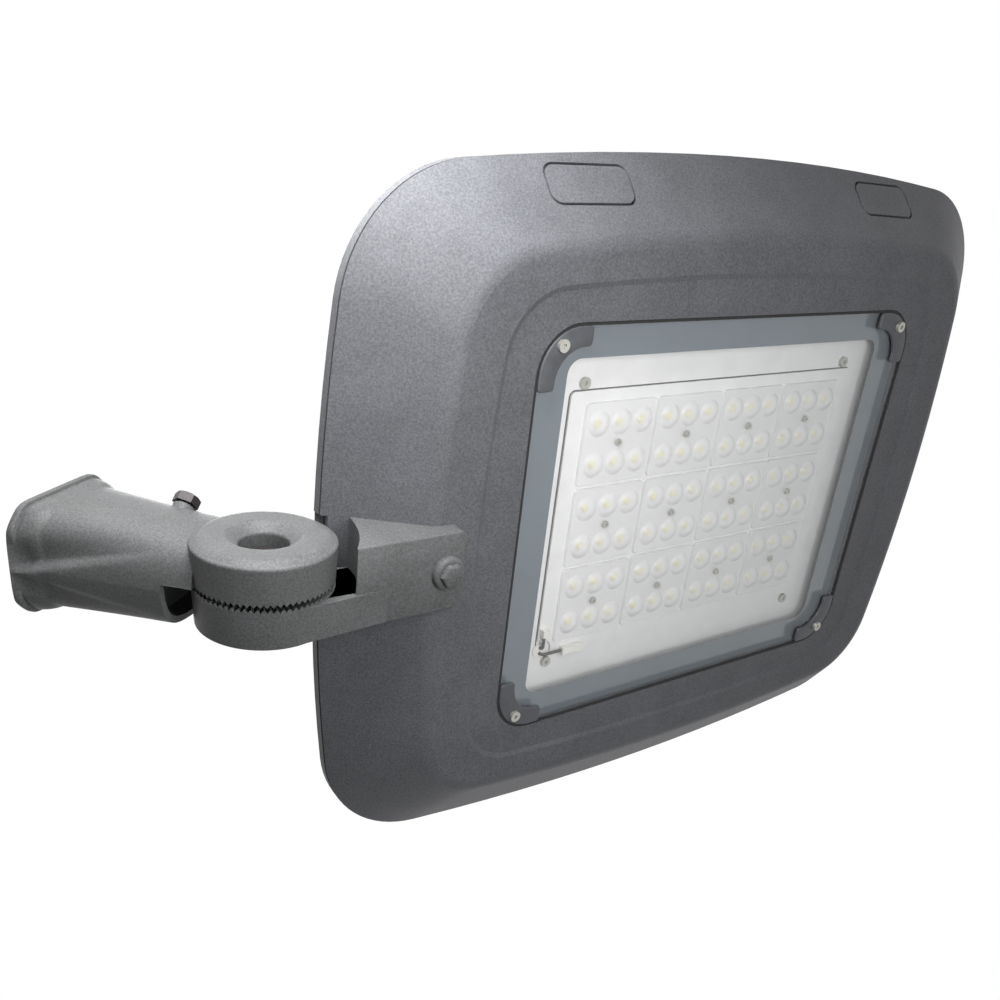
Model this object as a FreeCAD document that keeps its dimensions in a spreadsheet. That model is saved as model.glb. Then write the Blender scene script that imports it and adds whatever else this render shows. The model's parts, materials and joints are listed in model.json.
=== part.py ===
import FreeCAD, Part
import math
import os
import re
import Sketcher

Vec = FreeCAD.Vector
Turn = FreeCAD.Rotation
doc = FreeCAD.newDocument("street_light")

# Driving dimensions, in millimetres and degrees.
# The head is drawn in its own frame: the glass front at z = 0, x away from the pole, z up into the housing.
sizes = {
    # pole socket
    "pole_diameter": 42.4,
    "pole_play": 0.9,
    "socket_depth": 68,
    "pole_angle": 50,
    "mouth_half_height": 40,
    "mouth_half_width": 30.5,
    "mouth_chamfer": 12,
    "lip_length": 3.5,
    "lip_rise": 1.2,
    "groove_depth": 3,
    "groove_half_mouth": 2.5,
    "groove_half_neck": 13,
    "groove_flank": 4,
    "neck_half_height": 31,
    "neck_half_width": 22,
    "neck_chamfer": 8,
    "neck_start": 98,
    # toothed knuckle
    "knuckle_reach": 124,
    "lug_radius": 38,
    "lug_height": 22.8,
    "socket_lug_height": 24,
    "neck_cut": 46,
    "lug_clearance": 2.5,
    "lug_chamfer": 3,
    "bracket_lug_chamfer": 1,
    "notch_clearance": 0.8,
    "bracket_clearance": 10,
    "tooth_count": 72,
    "tooth_height": 1.6,
    "tooth_gap": 0.2,
    "tooth_inner_radius": 22,
    "tooth_sink": 0.3,
    "tooth_root": 1,
    "sink_radius": 19,
    "sink_depth": 5,
    "bolt_well_radius": 13,
    "bolt_well_floor": 6,
    "knuckle_bolt": 12,
    "bolt_head_radius": 9,
    "bolt_head_height": 5,
    "hex_key": 10,
    "key_depth": 3,
    "washer_thick": 2,
    "washer_radius": 12,
    "nut_flats": 18,
    "nut_height": 8,
    "nut_depth": 9,
    # set screws that clamp the pole
    "set_screw": 8,
    "set_screw_flats": 13,
    "set_screw_head": 5.3,
    "set_screw_boss": 9,
    "set_screw_reach": 37.5,
    "set_screw_stand_off": 1.5,
    "set_screw_turn": 40,
    "set_screw_inner": 60,
    "set_screw_outer": 24,
    # head: outline of the rim, the crest and the shallow step
    "knuckle_to_head": 305,
    "knuckle_above_glass": 21,
    "rim_half_length": 270.5,
    "rim_half_width": 211.5,
    "rim_corner": 75,
    "rim_side_bow": 1150,
    "rim_end_bow": 1900,
    "rim_drop": 29,
    "crest_half_length": 217.8,
    "crest_half_width": 170,
    "crest_corner": 48,
    "crest_side_bow": 900,
    "crest_end_bow": 1700,
    "crest_rise": 2.3,
    "crest_round": 14,
    "step_half_length": 187,
    "step_half_width": 147.3,
    "step_corner": 36,
    "step_side_bow": 1000,
    "step_end_bow": 2100,
    "step_depth": 1.2,
    "step_run": 3,
    "frame_skin": 4.5,
    "rim_flange": 9,
    "bevel_inset": 6,
    # window, glass and its border
    "window_half_length": 161.7,
    "window_half_width": 126,
    "window_corner": 28,
    "glass_play": 0.6,
    "glass_thick": 4,
    "glass_corner_cut": 33,
    "border_thick": 0.4,
    "border_end": 25.9,
    "border_side": 20.2,
    "clear_corner": 9,
    "seal_thick": 2,
    "seal_width": 8,
    "ledge_thick": 3,
    "ledge_end": 20,
    "ledge_side": 16,
    "collar_wall": 4,
    # corner clips of the glass
    "clip_arm": 35,
    "clip_width": 15,
    "clip_thick": 1.8,
    "clip_tip": 6.5,
    "clip_notch": 2.2,
    "clip_screw_end_inset": 14.7,
    "clip_screw_side_inset": 11.4,
    "clip_screw": 4,
    "clip_screw_head": 7,
    "clip_screw_rise": 2,
    "clip_post": 5,
    # rear housing
    "seam": 1.6,
    "rim_band": 6,
    "back_height": 54,
    "back_half_length": 205,
    "back_half_width": 150,
    "back_corner": 56,
    "housing_wall": 4,
    "fin_count": 17,
    "fin_pitch": 16,
    "fin_thick": 3,
    "fin_height": 15,
    "fin_start": -136,
    "fin_end": 188,
    "fin_slope": 18,
    # LED tray, board and lens modules
    "lens_gap": 0.4,
    "dome_height": 4.2,
    "dome_radius": 7.7,
    "lens_base": 1.8,
    "board_thick": 1.6,
    "tray_thick": 2,
    "board_half_length": 124.5,
    "board_half_width": 85.5,
    "tray_end_inset": 9.7,
    "tray_side_inset": 7,
    "tray_corner": 12,
    "tray_screw_x": 115.5,
    "tray_screw_y": 90,
    "tray_screw": 4,
    "tray_screw_head": 7,
    "tray_screw_rise": 2.2,
    "small_key": 2.5,
    "tray_boss": 5,
    "module_pitch_x": 56.8,
    "module_pitch_y": 52.2,
    "module_length": 55.6,
    "module_width": 50.4,
    "module_shift_y": -1.2,
    "lens_pitch_x": 17.1,
    "lens_pitch_y": 24.8,
    "chip_side": 3.5,
    "chip_height": 0.8,
    "chip_play": 0.3,
    "lens_screw": 2.5,
    "lens_screw_head": 4.6,
    "lens_screw_rise": 1.4,
    "lens_screw_key": 1.6,
    # leads, connector and grommet
    "grommet_x": -121.4,
    "grommet_y": 80.9,
    "grommet_radius": 4.5,
    "grommet_lip": 0.8,
    "board_notch": 8,
    "wire_diameter": 2,
    "wire_bend": 2.5,
    "wire_spread": 2,
    "wire_step": 6,
    "wire_rise": 38,
    "connector_x": -106,
    "connector_length": 17,
    "connector_width": 5,
    "connector_height": 4.2,
    "pad_y": 67,
    "pad_side": 5,
    # driver and terminal block on the roof of the housing
    "driver_length": 150,
    "driver_width": 66,
    "driver_height": 27,
    "driver_ear": 12,
    "ear_thick": 3,
    "ear_width": 34,
    "driver_screw": 4,
    "driver_screw_head": 7,
    "driver_screw_rise": 2.4,
    "terminal_x": -133,
    "terminal_length": 30,
    "terminal_width": 46,
    "terminal_height": 17,
    "terminal_hole": 2.6,
    "terminal_hole_depth": 8,
    # blanking plugs in the upper bevel
    "plug_x": 125,
    "plug_shift": 1.75,
    "plug_half_length": 27,
    "plug_half_width": 10.8,
    "plug_corner": 6,
    "plug_groove": 1.5,
    "plug_depth": 2.4,
    # frame screws, vent and cable gland
    "frame_screw": 5,
    "frame_screw_head": 9,
    "frame_screw_rise": 4,
    "frame_screw_key": 4,
    "frame_boss": 6.5,
    "frame_thread": 12,
    "end_screw_inset": 32.5,
    "end_screw_y": 92,
    "side_screw_x": 158,
    "side_screw_inset": 33.5,
    "vent_x": -172,
    "vent_y": -48,
    "vent_radius": 8,
    "vent_stem": 5,
    "gland_y": 48,
    "gland_radius": 10,
    "gland_stem": 8,
    "gland_flats": 22,
    # bracket on the head
    "bracket_front": 11,
    "bracket_half_width": 22.4,
    "bracket_base_half": 27,
    "bracket_tip": -199,
    "bracket_heel": -284,
    "web_end": -250,
    "bracket_draft": 1.5,
    "bracket_tip_round": 6,
    "seat_gap": 0.25,
    "bracket_bolt": 6,
    "bracket_bolt_flats": 10,
    "bracket_bolt_head": 4,
    "bracket_bolt_x": -212,
    "bolt_post": 12,
    "bracket_pad_radius": 8,
    "bracket_pad": 1.5,
    "inner_bolt": 8,
    "inner_bolt_rise": 5.3,
    "inner_bolt_flats": 13,
    "inner_bolt_seat": 23,
    "inner_bolt_x": -243,
    "inner_bolt_y": 13,
    # clearances between pieces
    "fit": 0.3,
    "thread_play": 0.1,
}
sheet = doc.addObject("Spreadsheet::Sheet", "dims")
for row, (alias, number) in enumerate(sizes.items(), 1):
    sheet.set(f"A{row}", alias)
    sheet.set(f"B{row}", str(number))
    sheet.setAlias(f"B{row}", alias)
doc.recompute()

# Heights and places that several pieces share, worked out once from the driving dimensions
shared = {
    "head_x": "knuckle_reach * cos(pole_angle) + knuckle_to_head",
    "head_z": "-knuckle_reach * sin(pole_angle) - knuckle_above_glass",
    "bore_radius": "(pole_diameter + pole_play) / 2",
    "tooth_base": "tooth_gap + tooth_height",
    "ledge_front": "glass_thick + border_thick + seal_thick",
    "ledge_back": "ledge_front + ledge_thick",
    "lens_front": "glass_thick + border_thick + lens_gap",
    "base_front": "lens_front + dome_height",
    "board_front": "base_front + lens_base",
    "tray_front": "board_front + board_thick",
    "tray_back": "tray_front + tray_thick",
    "seam_top": "rim_drop + seam",
    "clear_half_length": "window_half_length - border_end",
    "clear_half_width": "window_half_width - border_side",
    "clip_screw_x": "window_half_length - clip_screw_end_inset",
    "clip_screw_y": "window_half_width - clip_screw_side_inset",
    "tray_half_length": "window_half_length - tray_end_inset",
    "tray_half_width": "window_half_width - tray_side_inset",
    "end_screw_x": "rim_half_length - end_screw_inset",
    "side_screw_y": "rim_half_width - side_screw_inset",
    "plug_y": "-(rim_half_width + crest_half_width) / 2 - plug_shift",
    "band_top": "seam_top + rim_band",
    "roof": "back_height - housing_wall",
    "dome_ball": "(dome_radius ^ 2 + dome_height ^ 2) / (2 * dome_height)",
    "wire_level": "board_front - connector_height / 2",
    "skin_back": "frame_skin - crest_rise",
    "head_seat": "band_top + 2",
    "web_run": "knuckle_to_head + web_end",
    "web_drop": "knuckle_above_glass + bracket_front",
    "web_turn": "atan(web_drop / web_run) + acos(lug_radius / sqrt(web_run ^ 2 + web_drop ^ 2))",
}
for row, (alias, formula) in enumerate(shared.items(), len(sizes) + 1):
    sheet.set(f"A{row}", alias)
    sheet.set(f"B{row}", "=" + formula)
    sheet.setAlias(f"B{row}", alias)
    doc.recompute()

aliases = set(sizes) | set(shared)
pieces = []
axis_turns = {
    "X": Turn(Vec(0, 1, 0), 90),
    "Y": Turn(Vec(1, 0, 0), -90),
    "Z": Turn(),
    "-Z": Turn(Vec(1, 0, 0), 180),
}


def in_sheet(formula):
    """A formula as the other objects read it, with the sheet's name before each of its sizes."""
    return re.sub("[a-z_]+", lambda word: "dims." * (word[0] in aliases) + word[0], formula)


def number(formula):
    """The present value of a formula in the sheet's names."""
    return float(sheet.evalExpression(in_sheet(formula)))


def bind(item, formulas):
    for prop, formula in formulas.items():
        item.setExpression(prop, in_sheet(formula))


def set_place(item, x, y, z, axis="Z"):
    item.Placement = FreeCAD.Placement(Vec(), axis_turns[axis])
    bind(item, {"Placement.Base.x": x, "Placement.Base.y": y, "Placement.Base.z": z})
    return item


def block(name, length, width, height, x, y, z):
    """A box centred on x and y, standing on z."""
    item = doc.addObject("Part::Box", name)
    bind(item, {"Length": length, "Width": width, "Height": height})
    return set_place(item, f"{x} - ({length}) / 2", f"{y} - ({width}) / 2", z)


def rod(name, radius, height, x, y, z, axis="Z"):
    item = doc.addObject("Part::Cylinder", name)
    bind(item, {"Radius": radius, "Height": height})
    return set_place(item, x, y, z, axis)


def hexagon(name, flats, height, x, y, z, axis="Z"):
    item = doc.addObject("Part::Prism", name)
    item.Polygon = 6
    bind(item, {"Circumradius": f"({flats}) / 2 / cos(30)", "Height": height})
    return set_place(item, x, y, z, axis)


def cone(name, radius_low, radius_high, height, x, y, z, axis="Z"):
    item = doc.addObject("Part::Cone", name)
    bind(item, {"Radius1": radius_low, "Radius2": radius_high, "Height": height})
    return set_place(item, x, y, z, axis)


def fuse(name, items):
    item = doc.addObject("Part::MultiFuse", name)
    item.Shapes = items
    return item


def cut(name, base, tools):
    item = doc.addObject("Part::Cut", name)
    item.Base = base
    item.Tool = tools[0] if len(tools) == 1 else fuse(name + "_tools", tools)
    return item


def common(name, base, tool):
    item = doc.addObject("Part::Common", name)
    item.Base = base
    item.Tool = tool
    return item


def group(name, items):
    item = doc.addObject("Part::Compound", name)
    item.Links = items
    return item


def on_head(label, item):
    """Names a finished piece of the head and puts it in its place."""
    item.Label = label
    bind(item, {"Placement.Base.x": "head_x", "Placement.Base.z": "head_z"})
    pieces.append(item)


def on_pole(label, item):
    """Names a finished piece of the pole socket, drawn with its mouth at z = 0, and turns it to the pole."""
    item.Label = label
    item.Placement = FreeCAD.Placement(Vec(), Turn(Vec(0, 1, 0), 140))
    bind(item, {"Placement.Rotation.Angle": "pole_angle + 90"})
    pieces.append(item)


def new_sketch(body, name, height="0", role="XY_Plane", shift="0"):
    sketch = body.newObject("Sketcher::SketchObject", name)
    base = next(plane for plane in body.Origin.OriginFeatures if plane.Role == role)
    sketch.AttachmentSupport = [(base, "")]
    sketch.MapMode = "FlatFace"
    bind(sketch, {"AttachmentOffset.Base.x": shift, "AttachmentOffset.Base.z": height})
    return sketch


def measure(sketch, kind, first, second, formula):
    """Adds a distance that follows a formula, from a first point to a second, each (geometry, end)."""
    index = sketch.addConstraint(Sketcher.Constraint(kind, *first, *second, number(formula)))
    bind(sketch, {f"Constraints[{index}]": formula})


def set_radius(sketch, geometry, formula):
    index = sketch.addConstraint(Sketcher.Constraint("Radius", geometry, number(formula)))
    bind(sketch, {f"Constraints[{index}]": formula})


def arc(centre_x, centre_y, radius, start, end):
    return Part.ArcOfCircle(Part.Circle(Vec(centre_x, centre_y, 0), Vec(0, 0, 1), radius), start, end)


origin = (-1, 1)


def draw_bowed(sketch, half_length, half_width, corner, side_bow, end_bow):
    """A rounded rectangle whose four sides are shallow arcs, all tangent."""
    reach_x, reach_y = number(half_length), number(half_width)
    corner_r, side_r, end_r = number(corner), number(side_bow), number(end_bow)
    side_x = reach_x - side_r
    end_y = reach_y - end_r
    # the corner's centre lies where circles about the two bow centres cross
    span = math.hypot(side_x, end_y)
    far, near = side_r - corner_r, end_r - corner_r
    along = (far ** 2 - near ** 2 + span ** 2) / (2 * span)
    off = math.sqrt(far ** 2 - along ** 2)
    unit_x, unit_y = -side_x / span, end_y / span
    corner_x = side_x + along * unit_x - off * unit_y
    corner_y = along * unit_y + off * unit_x
    low = math.atan2(corner_y, corner_x - side_x)
    high = math.atan2(corner_y - end_y, corner_x)
    half, full = math.pi, 2 * math.pi
    sketch.addGeometry(
        [
            arc(side_x, 0, side_r, -low, low),
            arc(corner_x, corner_y, corner_r, low, high),
            arc(0, end_y, end_r, high, half - high),
            arc(-corner_x, corner_y, corner_r, half - high, half - low),
            arc(-side_x, 0, side_r, half - low, half + low),
            arc(-corner_x, -corner_y, corner_r, half + low, half + high),
            arc(0, -end_y, end_r, half + high, full - high),
            arc(corner_x, -corner_y, corner_r, full - high, full - low),
        ],
        False,
    )
    for index in range(8):
        sketch.addConstraint(Sketcher.Constraint("Tangent", index, 2, (index + 1) % 8, 1))
    for first, second in ((0, 4), (2, 6), (1, 3), (1, 5), (1, 7)):
        sketch.addConstraint(Sketcher.Constraint("Equal", first, second))
    for geometry, axis in ((0, -1), (4, -1), (2, -2), (6, -2)):
        sketch.addConstraint(Sketcher.Constraint("PointOnObject", geometry, 3, axis))
    set_radius(sketch, 0, side_bow)
    set_radius(sketch, 2, end_bow)
    set_radius(sketch, 1, corner)
    measure(sketch, "DistanceX", (0, 3), origin, f"{side_bow} - ({half_length})")
    measure(sketch, "DistanceX", origin, (4, 3), f"{side_bow} - ({half_length})")
    measure(sketch, "DistanceY", (2, 3), origin, f"{end_bow} - ({half_width})")
    measure(sketch, "DistanceY", origin, (6, 3), f"{end_bow} - ({half_width})")


def draw_rounded(sketch, half_length, half_width, corner):
    """A rectangle with four equal round corners, about the origin."""
    reach_x, reach_y, radius = number(half_length), number(half_width), number(corner)
    flat_x, flat_y = reach_x - radius, reach_y - radius
    quarter = math.pi / 2
    sketch.addGeometry(
        [
            Part.LineSegment(Vec(reach_x, -flat_y, 0), Vec(reach_x, flat_y, 0)),
            arc(flat_x, flat_y, radius, 0, quarter),
            Part.LineSegment(Vec(flat_x, reach_y, 0), Vec(-flat_x, reach_y, 0)),
            arc(-flat_x, flat_y, radius, quarter, 2 * quarter),
            Part.LineSegment(Vec(-reach_x, flat_y, 0), Vec(-reach_x, -flat_y, 0)),
            arc(-flat_x, -flat_y, radius, 2 * quarter, 3 * quarter),
            Part.LineSegment(Vec(-flat_x, -reach_y, 0), Vec(flat_x, -reach_y, 0)),
            arc(flat_x, -flat_y, radius, 3 * quarter, 4 * quarter),
        ],
        False,
    )
    for index in range(8):
        sketch.addConstraint(Sketcher.Constraint("Tangent", index, 2, (index + 1) % 8, 1))
    for line, kind in ((0, "Vertical"), (2, "Horizontal"), (4, "Vertical"), (6, "Horizontal")):
        sketch.addConstraint(Sketcher.Constraint(kind, line))
    for other in (3, 5, 7):
        sketch.addConstraint(Sketcher.Constraint("Equal", 1, other))
    set_radius(sketch, 1, corner)
    measure(sketch, "DistanceX", origin, (0, 1), half_length)
    measure(sketch, "DistanceX", (4, 1), origin, half_length)
    measure(sketch, "DistanceY", origin, (2, 1), half_width)
    measure(sketch, "DistanceY", (6, 1), origin, half_width)


def draw_polygon(sketch, corners):
    """A closed outline through corners given as pairs of formulas."""
    places = [Vec(number(x), number(y), 0) for x, y in corners]
    count = len(places)
    for index in range(count):
        sketch.addGeometry(Part.LineSegment(places[index], places[(index + 1) % count]), False)
    for index in range(count):
        sketch.addConstraint(Sketcher.Constraint("Coincident", index, 2, (index + 1) % count, 1))
    for index, (x, y) in enumerate(corners):
        for kind, formula in (("DistanceX", x), ("DistanceY", y)):
            if number(formula) > 0:
                measure(sketch, kind, origin, (index, 1), formula)
            else:
                measure(sketch, kind, (index, 1), origin, f"-({formula})")


def bowed_form(name, low, high):
    """A solid between two bowed outlines, each given as its five sizes and its height."""
    body = doc.addObject("PartDesign::Body", name)
    profiles = []
    for end, outline in (("low", low), ("high", high)):
        sketch = new_sketch(body, f"{name}_{end}", outline[5])
        draw_bowed(sketch, *outline[:5])
        profiles.append(sketch)
    loft = body.newObject("PartDesign::AdditiveLoft", name + "_loft")
    loft.Profile = profiles[0]
    loft.Sections = [profiles[1]]
    loft.Ruled = True
    return body


def plate_form(name, half_length, half_width, corner, low, height):
    """A plate with round corners, standing on the height low."""
    body = doc.addObject("PartDesign::Body", name)
    sketch = new_sketch(body, name + "_outline", low)
    draw_rounded(sketch, half_length, half_width, corner)
    pad = body.newObject("PartDesign::Pad", name + "_pad")
    pad.Profile = sketch
    bind(pad, {"Length": height})
    return body


def rim_outline(inset, height):
    return (
        f"rim_half_length - ({inset})",
        f"rim_half_width - ({inset})",
        f"rim_corner - ({inset})",
        "rim_side_bow",
        "rim_end_bow",
        height,
    )


def crest_outline(inset, height):
    return (
        f"crest_half_length - ({inset})",
        f"crest_half_width - ({inset})",
        f"crest_corner - ({inset})",
        "crest_side_bow",
        "crest_end_bow",
        height,
    )


def step_outline(grow, height):
    return (
        f"step_half_length + ({grow})",
        f"step_half_width + ({grow})",
        f"step_corner + ({grow})",
        "step_side_bow",
        "step_end_bow",
        height,
    )


def back_outline(inset, height):
    return (
        f"back_half_length - ({inset})",
        f"back_half_width - ({inset})",
        f"back_corner - ({inset})",
        "crest_side_bow",
        "crest_end_bow",
        height,
    )


def corner_places(x, y):
    return [(f"{sx}{x}", f"{sy}{y}") for sx in ("", "-") for sy in ("", "-")]


frame_screw_places = corner_places("end_screw_x", "end_screw_y")
frame_screw_places += corner_places("side_screw_x", "side_screw_y")


def crest_fillet(body):
    """Rounds the crest, the edge loop at the low end of the bevel."""
    doc.recompute()
    loft = body.Tip
    level = -number("crest_rise")
    names = []
    for index, edge in enumerate(loft.Shape.Edges, 1):
        if abs(edge.BoundBox.ZMax - level) < 1e-3:
            names.append(f"Edge{index}")
    rounding = body.newObject("PartDesign::Fillet", "crest_rounding")
    rounding.Base = (loft, names)
    bind(rounding, {"Radius": "crest_round"})


def plug_prism(name, side, grow, depth, height):
    """A rounded prism square to the upper bevel, from depth under its face to height over it."""
    item = plate_form(
        name,
        f"plug_half_length + {grow}",
        f"plug_half_width + {grow}",
        f"plug_corner + {grow}",
        f"-({depth})",
        f"{depth} + {height}",
    )
    # the bevel's slope, and its face under the plug's middle, drawn in by the bow of the rim and the crest
    run = "(rim_half_width - crest_half_width)"
    fall = "(rim_drop + crest_rise)"
    bow = "plug_x ^ 2 / 2 / crest_end_bow"
    share = f"((-plug_y + {bow} - crest_half_width) / {run})"
    item.Placement = FreeCAD.Placement(Vec(), Turn(Vec(1, 0, 0), 143))
    bind(
        item,
        {
            "Placement.Base.x": f"{side}plug_x",
            "Placement.Base.y": "plug_y",
            "Placement.Base.z": f"{share} * {fall} - crest_rise",
            "Placement.Rotation.Angle": f"180 deg - atan({fall} / {run})",
        },
    )
    return item


def mirrored(quarter):
    """The corners of a whole outline from those of its first quarter."""
    corners = list(quarter)
    corners += [(f"-{x}", y) for x, y in reversed(quarter)]
    corners += [(f"-{x}", f"-{y}") for x, y in quarter]
    corners += [(x, f"-{y}") for x, y in reversed(quarter)]
    return corners


def knuckle_rod(name, radius, low, height):
    """A rod about the knuckle's axis, in the frame of the head."""
    return rod(name, radius, height, "-knuckle_to_head", low, "knuckle_above_glass", "Y")


def lug_notch(name):
    """Room in the rim for the turning lug of the pole socket."""
    radius = "lug_radius + notch_clearance"
    return knuckle_rod(name, radius, "-socket_lug_height - 2", "socket_lug_height + 3")


def build_front_frame():
    form = bowed_form("frame_form", rim_outline("0", "rim_drop"), crest_outline("0", "-crest_rise"))
    crest_fillet(form)
    hollow = bowed_form(
        "frame_hollow",
        rim_outline("rim_flange", "rim_drop + 0.01"),
        crest_outline("bevel_inset", "skin_back"),
    )
    shell = cut("frame_shell", form, [hollow])
    collar = plate_form(
        "window_collar",
        "window_half_length + collar_wall",
        "window_half_width + collar_wall",
        "window_corner + collar_wall",
        "0",
        "ledge_back",
    )
    posts = []
    for index, (x, y) in enumerate(frame_screw_places):
        posts.append(rod(f"frame_post_{index}", "frame_boss", "rim_drop", x, y, "0"))
    for index, y in enumerate(inner_bolt_rows):
        posts.append(rod(f"inner_post_{index}", "inner_bolt", "inner_bolt_seat", "inner_bolt_x", y, "0"))
    posts.append(rod("bolt_post", "bracket_bolt * 1.2", "bolt_post", "bracket_bolt_x", "0", "0"))
    bosses = common("frame_bosses", form, fuse("frame_posts", posts))
    solid = fuse("frame_solid", [shell, collar, bosses])
    recess = plate_form(
        "recess_plate",
        "window_half_length",
        "window_half_width",
        "window_corner",
        "-10",
        "ledge_front + 10",
    )
    clip_posts = []
    for index, (x, y) in enumerate(clip_places):
        clip_posts.append(rod(f"clip_post_{index}", "clip_post", "20", x, y, "0"))
    opening = plate_form(
        "window_opening",
        "window_half_length - ledge_end",
        "window_half_width - ledge_side",
        "clear_corner",
        "0",
        "ledge_back + 5",
    )
    step = bowed_form(
        "step_recess",
        step_outline("step_run", "-crest_rise - 0.01"),
        step_outline("0", "step_depth - crest_rise"),
    )
    tools = [
        cut("window_recess", recess, clip_posts),
        opening,
        step,
        plug_prism("plug_pocket_far", "", "plug_groove", "plug_depth", "8"),
        plug_prism("plug_pocket_near", "-", "plug_groove", "plug_depth", "8"),
        lug_notch("frame_notch"),
    ]
    thread = "frame_screw / 2 + thread_play"
    for index, (x, y) in enumerate(frame_screw_places):
        low = "rim_drop - frame_thread"
        tools.append(rod(f"frame_thread_{index}", thread, "frame_thread + 5", x, y, low))
    thread = "clip_screw / 2 + thread_play"
    for index, (x, y) in enumerate(clip_places):
        tools.append(rod(f"clip_thread_{index}", thread, "ledge_back + 9", x, y, "-10"))
    hole = "inner_bolt / 2 + fit"
    for index, y in enumerate(inner_bolt_rows):
        tools.append(rod(f"inner_hole_{index}", hole, "60", "inner_bolt_x", y, "-20"))
    thread = "bracket_bolt / 2 + thread_play"
    tools.append(rod("bolt_thread", thread, "bolt_post + 19", "bracket_bolt_x", "0", "-20"))
    on_head("front_frame", cut("frame", solid, tools))
    return form


def build_plugs(form):
    for label, side in (("blank_plug_1", "-"), ("blank_plug_2", "")):
        prism = plug_prism(label + "_prism", side, "0", "plug_depth", "8")
        on_head(label, common(label, form, prism))


def cooling_fins():
    """A row of upright fins along the housing, one fin and its pattern."""
    fins = doc.addObject("PartDesign::Body", "cooling_fins")
    side = "(fin_count - 1) * fin_pitch / 2 - fin_thick / 2"
    sketch = new_sketch(fins, "fin_profile", side, "XZ_Plane")
    foot = "back_height - 1"
    crown = "back_height + fin_height"
    draw_polygon(
        sketch,
        [
            ("fin_start", foot),
            ("fin_end", foot),
            ("fin_end - fin_slope", crown),
            ("fin_start + fin_slope", crown),
        ],
    )
    pad = fins.newObject("PartDesign::Pad", "fin")
    pad.Profile = sketch
    bind(pad, {"Length": "fin_thick"})
    doc.recompute()
    rows = fins.newObject("PartDesign::LinearPattern", "fin_rows")
    rows.Originals = [pad]
    rows.Direction = (sketch, ["N_Axis"])
    rows.Reversed = True
    bind(rows, {"Length": "(fin_count - 1) * fin_pitch", "Occurrences": "fin_count"})
    fins.Tip = rows
    return fins


def build_rear_housing():
    band = bowed_form("rim_band", rim_outline("0", "seam_top"), rim_outline("0", "band_top"))
    shoulder = bowed_form("shoulder", rim_outline("0", "band_top"), back_outline("0", "back_height"))
    inner_band = bowed_form(
        "inner_band",
        rim_outline("rim_flange", "seam_top - 0.01"),
        rim_outline("rim_flange", "band_top - 1"),
    )
    inner_shoulder = bowed_form(
        "inner_shoulder",
        rim_outline("rim_flange", "band_top - 1.01"),
        back_outline("housing_wall", "roof"),
    )
    shell = cut("housing_shell", fuse("housing_outer", [band, shoulder]), [inner_band, inner_shoulder])
    posts = []
    for index, (x, y) in enumerate(frame_screw_places):
        posts.append(rod(f"housing_post_{index}", "frame_boss", "rim_band + 6", x, y, "seam_top"))
    height = "roof - tray_back + 2"
    for index, (x, y) in enumerate(tray_screw_places):
        posts.append(rod(f"tray_post_{index}", "tray_boss", height, x, y, "tray_back"))
    solid = fuse("housing_solid", [shell, cooling_fins()] + posts)
    tools = [lug_notch("housing_notch")]
    hole = "frame_screw / 2 + fit"
    well = "frame_screw_head / 2 + fit"
    for index, (x, y) in enumerate(frame_screw_places):
        tools.append(rod(f"housing_hole_{index}", hole, "40", x, y, "seam_top - 5"))
        tools.append(rod(f"head_well_{index}", well, "30", x, y, "head_seat"))
    thread = "tray_screw / 2 + thread_play"
    for index, (x, y) in enumerate(tray_screw_places):
        tools.append(rod(f"tray_thread_{index}", thread, "16", x, y, "tray_back - 4"))
    thread = "driver_screw / 2 + thread_play"
    for index, (x, y) in enumerate(driver_screw_places):
        tools.append(rod(f"driver_thread_{index}", thread, "housing_wall - 0.7", x, y, "roof"))
    tools.append(rod("vent_hole", "vent_stem + thread_play", "30", "vent_x", "vent_y", "roof - 6"))
    tools.append(rod("gland_hole", "gland_stem + thread_play", "30", "vent_x", "gland_y", "roof - 6"))
    on_head("rear_housing", cut("housing", solid, tools))


def build_housing_gasket():
    outer = bowed_form("gasket_outer", rim_outline("0.8", "rim_drop"), rim_outline("0.8", "seam_top"))
    inner = bowed_form(
        "gasket_inner",
        rim_outline("rim_flange", "rim_drop - 1"),
        rim_outline("rim_flange", "seam_top + 1"),
    )
    on_head("housing_gasket", cut("gasket", outer, [inner, lug_notch("gasket_notch")]))


def screw(name, x, y, seat, thread, length, head, head_height, key):
    """A socket-headed screw along z: its head stands on seat and its shank points down."""
    shank_low = f"{seat} - ({length})"
    shank = rod(name + "_shank", f"{thread} / 2", length, x, y, shank_low)
    cap = rod(name + "_head", f"{head} / 2", head_height, x, y, seat)
    socket = hexagon(name + "_key", key, head_height, x, y, f"{seat} + {head_height} * 0.4")
    return cut(name, fuse(name + "_solid", [shank, cap]), [socket])


def screw_up(name, x, y, seat, thread, length, head, head_height, key):
    """The same screw turned over: its head hangs under seat and its shank points up."""
    shank = rod(name + "_shank", f"{thread} / 2", length, x, y, seat)
    cap = rod(name + "_head", f"{head} / 2", head_height, x, y, f"{seat} - {head_height}")
    socket = hexagon(name + "_key", key, head_height, x, y, f"{seat} - {head_height} * 1.4")
    return cut(name, fuse(name + "_solid", [shank, cap]), [socket])


def build_frame_screws():
    length = "head_seat - rim_drop + frame_thread - 1"
    screws = []
    for index, (x, y) in enumerate(frame_screw_places):
        name = f"frame_screw_{index}"
        head = ("frame_screw_head", "frame_screw_rise", "frame_screw_key")
        screws.append(screw(name, x, y, "head_seat", "frame_screw", length, *head))
    on_head("frame_screws", group("frame_screw_set", screws))


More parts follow.
